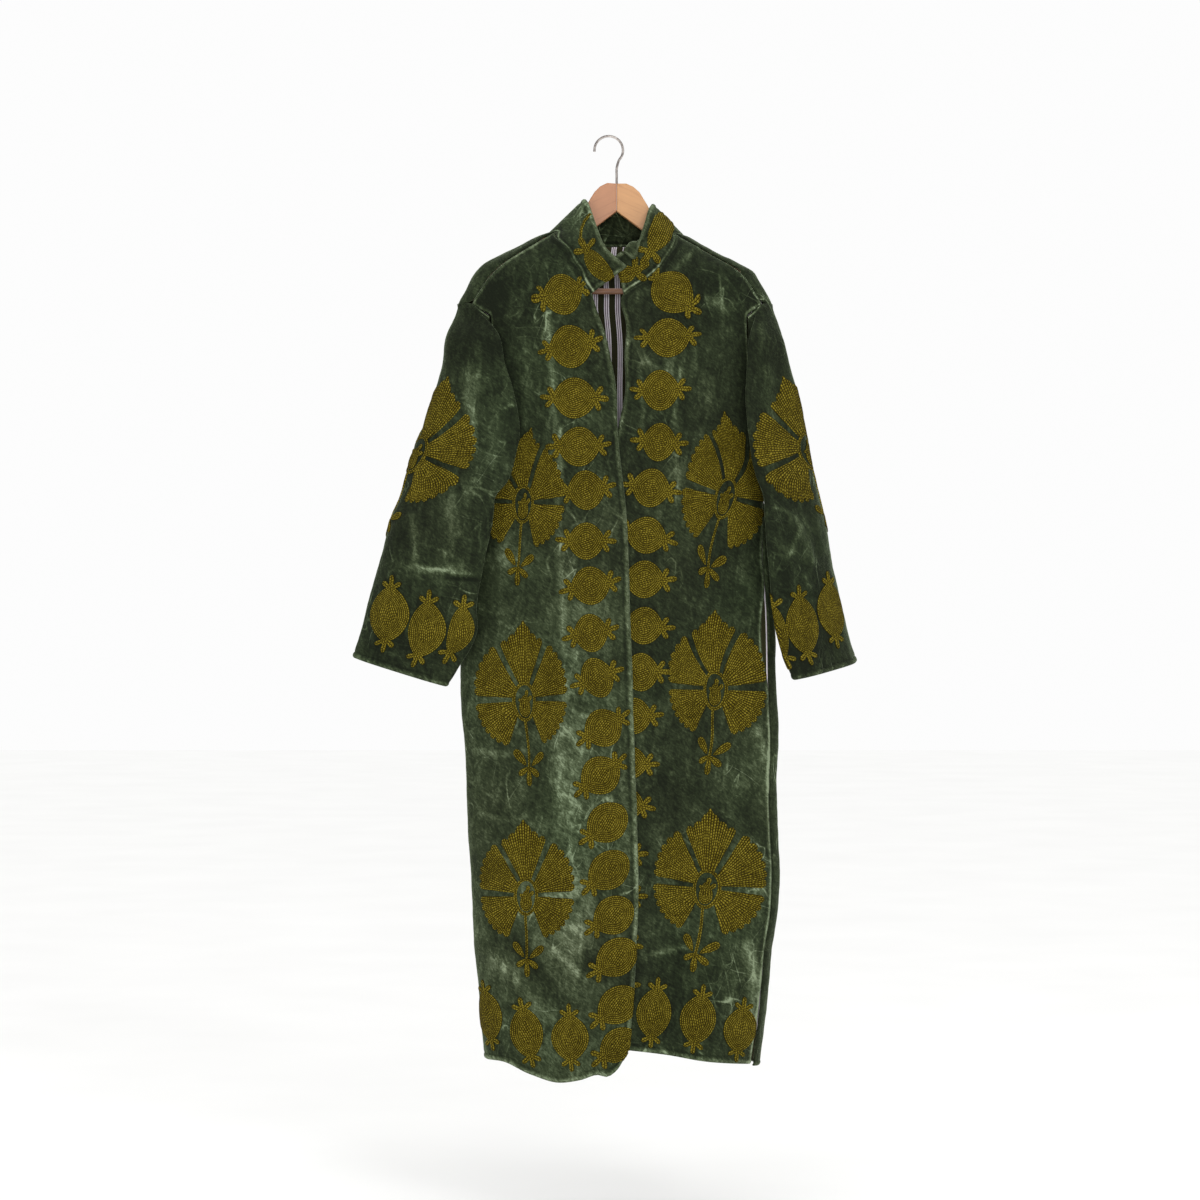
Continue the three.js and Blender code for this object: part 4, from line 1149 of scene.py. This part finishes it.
def sew_collar(cloth):
    work = Embroidery(cloth)
    stalk = band([(-53, 0), (-64, 5), (-73, 16), (-76, 30)], 4.2)
    work.sew([*pomegranate(62, 29, ["left"], 1.15), stalk], -20, -199, 17)
    work.sew(pomegranate(84, 37, ["left"], 1.25, rows="straight"), 76, -141, 13)
    work.sew(pomegranate(30, 26, ["right"], 1.25), 22, -210)
    return work.mesh()


# ---------------------------------------------------------------- finishes


def paint(red, green, blue):
    """A colour as it looks on a screen, made linear."""
    colors = (red, green, blue)
    return (*(((c / 255 + 0.055) / 1.055) ** 2.4 if c > 10 else c / 3295 for c in colors), 1)


def grey(value):
    return (value, value, value, 1)


class Board:
    """Lays out shader nodes in short lines."""

    def __init__(self, tree):
        self.tree = tree

    def feed(self, node, inputs):
        for name, value in inputs.items():
            if isinstance(value, bpy.types.NodeSocket):
                self.tree.links.new(value, node.inputs[name])
            else:
                node.inputs[name].default_value = value
        return node

    def add(self, kind, inputs, **settings):
        node = self.tree.nodes.new("ShaderNode" + kind)
        for name, value in settings.items():
            setattr(node, name, value)
        return self.feed(node, inputs)

    def math(self, operation, a, b=0.0, c=0.0, clamp=False):
        node = self.add("Math", {0: a, 1: b, 2: c}, operation=operation, use_clamp=clamp)
        return node.outputs[0]

    def plus(self, tone, a, b=1.0, clamp=False):
        """Adds a times b to the tone."""
        return self.math("ADD", tone, self.math("MULTIPLY", a, b), clamp=clamp)

    def object_place(self):
        return self.add("TexCoord", {}).outputs["Object"]

    def uv(self, name):
        return self.add("UVMap", {}, uv_map=name).outputs[0]

    def noise(self, vector, scale, detail=3.0, rough=0.5, distortion=0.0):
        inputs = {"Vector": vector, "Scale": scale, "Detail": detail, "Roughness": rough}
        return self.add("TexNoise", {**inputs, "Distortion": distortion}).outputs["Fac"]

    def stretched(self, vector, scale, lean=0.0):
        """Places turned about the front-to-back axis, then scaled."""
        if lean:
            vector = self.add("Mapping", {"Vector": vector, "Rotation": (0, lean, 0)}).outputs[0]
        return self.add("Mapping", {"Vector": vector, "Scale": scale}).outputs[0]

    def ramp(self, fac, stops, interpolation="EASE"):
        node = self.add("ValToRGB", {"Fac": fac})
        node.color_ramp.interpolation = interpolation
        elements = node.color_ramp.elements
        while len(elements) < len(stops):
            elements.new(0.5)
        for element, (place, color) in zip(elements, stops):
            element.position, element.color = place, color
        return node.outputs["Color"]

    def mix(self, fac, a, b, blend):
        node = self.add("Mix", {}, data_type="RGBA", blend_type=blend)
        return self.feed(node, {0: fac, 6: a, 7: b}).outputs[2]


def new_group(name, inputs, outputs):
    tree = bpy.data.node_groups.new(name, "ShaderNodeTree")
    for label, kind in inputs:
        tree.interface.new_socket(label, in_out="INPUT", socket_type="NodeSocket" + kind)
    for label in outputs:
        tree.interface.new_socket(label, in_out="OUTPUT", socket_type="NodeSocketFloat")
    given, out = tree.nodes.new("NodeGroupInput"), tree.nodes.new("NodeGroupOutput")
    return Board(tree), given.outputs, out


PILE_LINES = ((13.0, 0.35, 0.008), (28.0, -0.55, 0.012), (18.0, 1.2, 0.008))  # scale, lean, width


def crushed_pile():
    """The tone and height of crushed pile: soft patches, scuffs, and thin pale creases, with the
    painted highlight and shade that it is given added to the tone.
    """
    inputs = [("Vector", "Vector"), ("Nap And Painted Light", "Float")]
    board, given, out = new_group("crushed_pile", inputs, ["Tone", "Height"])
    vector = given["Vector"]
    patch = board.noise(vector, 8.0, 4.0, 0.6, 0.8)
    scuff = board.noise(board.stretched(vector, (62, 62, 30), 0.25), 1.0, 6.0, 0.7, 1.4)
    streak = board.noise(board.stretched(vector, (90, 60, 14), -0.15), 1.0, 4.0, 0.65, 0.8)
    fine = board.noise(board.stretched(vector, (330, 260, 120), 0.9), 1.0, 3.0, 0.7, 0.8)
    crease = 0.0
    for scale, lean, width in PILE_LINES:
        turned = board.stretched(vector, (scale, scale, scale * 0.27), lean)
        wander = board.noise(turned, 1.0, 1.5, 0.5, 0.25)
        gap = board.math("ABSOLUTE", board.math("SUBTRACT", wander, 0.5))
        line = board.math("SUBTRACT", 1.0, board.math("DIVIDE", gap, width), clamp=True)
        crease = board.math("MAXIMUM", crease, line)
    where = board.math("MULTIPLY_ADD", board.noise(vector, 14.0, 2.0), 5.0, -2.5, clamp=True)
    crease = board.math("MULTIPLY", crease, where)
    tone = board.math("MULTIPLY_ADD", board.math("SUBTRACT", patch, 0.5), 0.85, 0.315)
    for layer, strength in ((scuff, 0.85), (streak, 0.6), (fine, 1.05)):
        tone = board.plus(tone, board.math("SUBTRACT", layer, 0.5), strength)
    # Adds the painted highlight and shade that each point carries.
    tone = board.plus(board.plus(tone, crease, 0.55), given["Nap And Painted Light"], 0.6, clamp=True)
    height = board.math("MULTIPLY_ADD", scuff, 0.9, board.math("MULTIPLY", fine, 0.45))
    board.feed(out, {"Tone": tone, "Height": board.plus(height, crease, 0.5)})
    return board.tree


STITCH = {"row": 0.003, "length": 0.0042}


def chain_stitch():
    """The tone and height of chain stitches in rows. The tone follows the height: painted shade
    between the loops, painted highlight on their tops, and a random tone per stitch. The vector
    runs across and along the rows.
    """
    board, given, out = new_group("chain_stitch", [("Vector", "Vector")], ["Tone", "Height"])

    def swing(value):
        fraction = board.math("FRACT", value)
        return board.math("ABSOLUTE", board.math("MULTIPLY_ADD", fraction, 2.0, -1.0))

    def dome(value):
        return board.math("SUBTRACT", 1.0, board.math("POWER", value, 2.0))

    place = board.add("SeparateXYZ", {0: given["Vector"]}).outputs
    across = board.math("DIVIDE", place[0], STITCH["row"])
    row, side = board.math("FLOOR", across), swing(across)
    shift = board.add("TexWhiteNoise", {"W": row}, noise_dimensions="1D").outputs["Value"]
    along = board.plus(board.math("DIVIDE", place[1], STITCH["length"]), side, 0.5)
    along = board.math("ADD", along, shift)
    knots = board.math("MULTIPLY_ADD", dome(swing(along)), 0.72, 0.28)
    height = board.math("MULTIPLY", dome(side), knots)
    cell = board.add("CombineXYZ", {0: row, 1: board.math("FLOOR", along)}).outputs[0]
    chance = board.add("TexWhiteNoise", {"Vector": cell}, noise_dimensions="2D").outputs["Value"]
    # Painted light and shade: the tone is the loops' height, dark between them and pale on top; the
    # random part is each stitch's own tone.
    tone = board.math("ADD", height, board.math("MULTIPLY_ADD", chance, 0.24, -0.12))
    board.feed(out, {"Tone": tone, "Height": height})
    return board.tree


def new_material(name):
    material = bpy.data.materials.new(name)
    material.use_nodes = True
    return material, Board(material.node_tree)


def surface(board, color, roughness, specular=None, relief=None, **more):
    """Feeds the shader. relief is a height, its distance in metres and its strength."""
    shader = board.tree.nodes["Principled BSDF"]
    inputs = {"Base Color": color, "Roughness": roughness}
    if specular is not None:
        inputs["Specular IOR Level"] = specular
    if relief:
        bump = dict(zip(("Height", "Distance", "Strength"), relief))
        inputs["Normal"] = board.add("Bump", bump).outputs[0]
    board.feed(shader, inputs)
    board.feed(shader, {name.replace("_", " "): value for name, value in more.items()})


VELVET_TONES = [
    (0.0, (20, 25, 13)), (0.25, (35, 42, 25)), (0.45, (52, 60, 39)), (0.7, (84, 93, 68)),
    (0.95, (138, 148, 120)),
]
# Thread colours along the stitch tone; the darkest stand for painted shade between loops, the
# palest for painted highlight on them.
THREAD_TONES = [
    (0.0, (20, 16, 2)), (0.3, (54, 46, 5)), (0.6, (82, 72, 12)), (0.85, (114, 102, 26)),
    (1.0, (146, 132, 46)),
]
STRIPES = {
    "olive": (52, 52, 28), "dark": (30, 29, 18), "pale": (255, 248, 254), "violet": (84, 60, 82),
}
STRIPE_REPEAT = 0.0168
STRIPE_STARTS = [
    (0.0, "olive"), (0.25, "dark"), (0.275, "olive"), (0.52, "pale"), (0.63, "violet"),
    (0.70, "pale"), (0.81, "violet"), (0.88, "pale"), (0.975, "dark"),
]


def painted(stops):
    return [(place, paint(*color)) for place, color in stops]


def velvet_finish():
    material, board = new_material("green_crushed_velvet")
    place = board.object_place()
    # Reads the painted highlight and shade, with some pressed nap, that each point carries.
    nap_and_painted_light = board.add("Attribute", {}, attribute_name="nap_and_painted_light").outputs["Fac"]
    pile = board.add("Group", {}, node_tree=crushed_pile())
    pile = board.feed(pile, {"Vector": place, "Nap And Painted Light": nap_and_painted_light}).outputs
    color = board.ramp(pile["Tone"], painted(VELVET_TONES), "LINEAR")
    warmth = board.math("MULTIPLY_ADD", board.noise(place, 4.0, 2.0), 2.4, -0.8, clamp=True)
    color = board.mix(board.math("MULTIPLY", warmth, 0.5), color, (0.78, 1.0, 0.86, 1), "MULTIPLY")
    sheen = {"Sheen_Weight": 0.4, "Sheen_Roughness": 0.35, "Sheen_Tint": (0.55, 0.68, 0.42, 1)}
    surface(board, color, 0.8, 0.12, (pile["Height"], 0.002, 0.9), **sheen)
    return material


def thread_finish():
    material, board = new_material("olive_chain_stitch")
    chain = board.add("Group", {}, node_tree=chain_stitch())
    chain = board.feed(chain, {"Vector": board.uv("stitch")}).outputs
    wear = board.math("MULTIPLY_ADD", board.noise(board.object_place(), 26.0), 0.3, -0.15)
    tone = board.math("ADD", chain["Tone"], wear, clamp=True)
    color = board.ramp(tone, painted(THREAD_TONES), "LINEAR")
    surface(board, color, 0.75, 0.06, (chain["Height"], 0.0012, 0.9))
    return material


def lining_finish():
    """Striped cotton: pale bands of thin lines between dark olive ones."""
    material, board = new_material("striped_cotton_lining")
    across = board.add("SeparateXYZ", {0: board.uv("cloth")}).outputs[0]
    repeat = board.math("FRACT", board.math("DIVIDE", across, STRIPE_REPEAT))
    stops = painted((place, STRIPES[name]) for place, name in STRIPE_STARTS)
    color = board.ramp(repeat, stops, "CONSTANT")
    threads = board.noise(board.stretched(board.object_place(), (900, 900, 260)), 1.0, 2.0)
    weave = board.ramp(threads, [(0.3, grey(0.3)), (0.7, grey(1))])
    color = board.mix(0.22, color, weave, "MULTIPLY")
    surface(board, color, 0.8, 0.2, (threads, 0.0004, 0.5))
    return material


def wood_finish(name, pale, dark, slope=24):
    material, board = new_material(name)
    run = board.stretched(board.object_place(), (16, 60, 130), math.radians(slope))
    grain = board.noise(run, 1.0, 6.0, 0.6, 0.6)
    pores = board.noise(board.stretched(run, (2.5, 9, 9)), 1.0, 2.0)
    tone = board.math("MULTIPLY_ADD", pores, 0.35, board.math("MULTIPLY", grain, 0.75), clamp=True)
    pale, dark = paint(*pale), paint(*dark)
    palest = (*(min(1, c * 1.15) for c in pale[:3]), 1)
    color = board.ramp(tone, [(0.2, dark), (0.55, pale), (0.9, palest)])
    surface(board, color, 0.45, relief=(grain, 0.0002, 0.5), Coat_Weight=0.15, Coat_Roughness=0.35)
    return material


def steel_finish():
    material, board = new_material("plated_wire")
    smudge = board.noise(board.object_place(), 160.0)
    color = board.ramp(smudge, painted([(0.3, (150, 142, 138)), (0.7, (214, 206, 200))]))
    surface(board, color, board.math("MULTIPLY_ADD", smudge, 0.2, 0.22), Metallic=1.0)
    return material


def floor_finish():
    material, board = new_material("pale_floor")
    cloudy = board.noise(board.object_place(), 3.0, 2.0)
    color = board.ramp(cloudy, [(0.0, (0.93, 0.93, 0.92, 1)), (1.0, (0.97, 0.97, 0.96, 1))])
    surface(board, color, 1.0, 0.0)
    return material


# ---------------------------------------------------------------- making the pieces


def link(name, data):
    thing = bpy.data.objects.new(name, data)
    bpy.context.scene.collection.objects.link(thing)
    return thing


def cloth_piece(cloth, materials, node):
    """A shell on the cloth's points, given its thickness, its stripes' place and its painted
    highlight and shade.
    """
    rows, columns = cloth.grid.shape[:2]
    index = np.arange(rows * columns).reshape(rows, columns)
    around = [index[:-1, :-1], index[1:, :-1], index[1:, 1:], index[:-1, 1:]]
    faces = np.stack(around, -1).reshape(-1, 4)
    mesh = bpy.data.meshes.new(cloth.name)
    mesh.from_pydata((cloth.grid.reshape(-1, 3) * MM).tolist(), [], faces.tolist())
    u, v = cloth.lengths()
    u = u - u[:, columns // 2 : columns // 2 + 1]
    places = np.stack([u.ravel(), v.ravel()], 1) * MM
    layer = mesh.uv_layers.new(name="cloth")
    layer.data.foreach_set("uv", places[faces.ravel()].ravel())
    # Each point's painted highlight and shade, with some pressed nap, for the velvet's tone.
    nap_and_painted_light = mesh.attributes.new("nap_and_painted_light", "FLOAT", "POINT")
    nap_and_painted_light.data.foreach_set("value", cloth.nap_and_painted_light.ravel())
    for material in materials:
        mesh.materials.append(material)
    mesh.shade_smooth()
    piece = link("cloth_" + cloth.name, mesh)
    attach(piece, "root")
    thick = piece.modifiers.new("thickness", "SOLIDIFY")
    thick.thickness = cloth.thickness * MM
    thick.offset = 0
    thick.material_offset = len(materials) - 1
    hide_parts(node)
    return piece


def sewn_piece(name, mesh, material):
    mesh.materials.append(material)
    piece = link("embroidery_" + name, mesh)
    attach(piece, "root")
    return piece


def declare(cloth):
    u, v = cloth.lengths()
    width, length = float(u[:, -1].max()) * MM, float(v[-1].max()) * MM
    down, across = np.diff(cloth.grid, axis=0)[:, :-1], np.diff(cloth.grid, axis=1)[:-1]
    area = float(np.linalg.norm(np.cross(down, across), axis=2).sum()) * MM * MM
    area = min(area, width * length)


velvet, stripes, thread = velvet_finish(), lining_finish(), thread_finish()

front_left, front_right = make_front("left"), make_front("right")
back = make_back()
sewing = [(front_left, sew_front), (front_right, sew_front), (back, sew_back)]
sewing += [(make_sleeve(side), sew_sleeve) for side in WAY]
sewing.append((make_collar(front_left, front_right, back), sew_collar))
for cloth, sew in sewing:
    inside = velvet if cloth.name == "collar" else stripes
    piece = cloth_piece(cloth, [velvet, inside], cloth.name)
    work = sewn_piece(cloth.name, sew(cloth), thread)
    declare(cloth)

for cloth in (make_lining(), make_pocket_facing()):
    piece = cloth_piece(cloth, [stripes], cloth.name)
    declare(cloth)

# The arms are one wood, given a darker copy on the left as painted shade and a paler copy on the
# right as painted light.
finishes = {
    "hanger_arm_left": wood_finish("hanger_wood_left_painted_shade", (180, 126, 90), (134, 82, 52)),
    "hanger_arm_right": wood_finish("hanger_wood_right_painted_light", (200, 148, 98), (154, 98, 58), -24),
    "hanger_bar": wood_finish("hanger_bar_wood", (150, 108, 80), (110, 74, 52)),
    "hanger_hook": steel_finish(),
}
for name, material in finishes.items():
    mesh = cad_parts[name].data
    mesh.materials.clear()
    mesh.materials.append(material)

# ---------------------------------------------------------------- the studio

CAMERA = {"x": -0.015, "away": 4.5, "height": -0.694, "sensor": 36.0, "lens": 90.0}
camera = link("camera", bpy.data.cameras.new("camera"))
camera.data.sensor_width = CAMERA["sensor"]
camera.data.lens = CAMERA["lens"]
camera.location = (CAMERA["x"], -CAMERA["away"], CAMERA["height"])
camera.rotation_euler = (QUARTER, 0, 0)
bpy.context.scene.camera = camera

FLOOR = {"half": 14.0, "height": -1.62}
ends = ((-1, -1), (1, -1), (1, 1), (-1, 1))
corners = [(x * FLOOR["half"], y * FLOOR["half"], FLOOR["height"]) for x, y in ends]
mesh = bpy.data.meshes.new("floor")
mesh.from_pydata(corners, [], [(0, 1, 2, 3)])
mesh.materials.append(floor_finish())
link("floor", mesh)

SUN = {"strength": 2.0, "softness": 60.0}
sun = link("sky_light", bpy.data.lights.new("sky_light", "SUN"))
sun.data.energy = SUN["strength"]
sun.data.angle = math.radians(SUN["softness"])

LIGHTS = [
    # name, place, aimed at, size, watts
    ("key", (1.7, -3.4, 1.3), (0, 0, -0.6), 1.4, 36),
    ("fill", (-2.8, -3.0, 0.0), (0, 0, -0.7), 2.4, 8),
    ("front", (0.1, -5.0, -0.2), (0, 0, -0.6), 1.0, 48),
]
for name, place, aim, size, watts in LIGHTS:
    lamp = link(name, bpy.data.lights.new(name, "AREA"))
    lamp.data.shape, lamp.data.size, lamp.data.energy = "SQUARE", size, watts
    lamp.location = place
    lamp.rotation_euler = (Vector(aim) - Vector(place)).to_track_quat("-Z", "Y").to_euler()

BACKDROP = {"light": 0.37, "seen": 0.61}  # what the camera sees is brighter than what lights
world = bpy.data.worlds.new("studio")
bpy.context.scene.world = world
world.use_nodes = True
sky = Board(world.node_tree)
background = world.node_tree.nodes["Background"]
seen = sky.add("LightPath", {}).outputs["Is Camera Ray"]
strength = sky.math("MULTIPLY_ADD", seen, BACKDROP["seen"], BACKDROP["light"])
sky.feed(background, {"Color": (1, 1, 1, 1), "Strength": strength})
bpy.context.scene.view_settings.view_transform = "Standard"
bpy.context.scene.view_settings.look = "None"
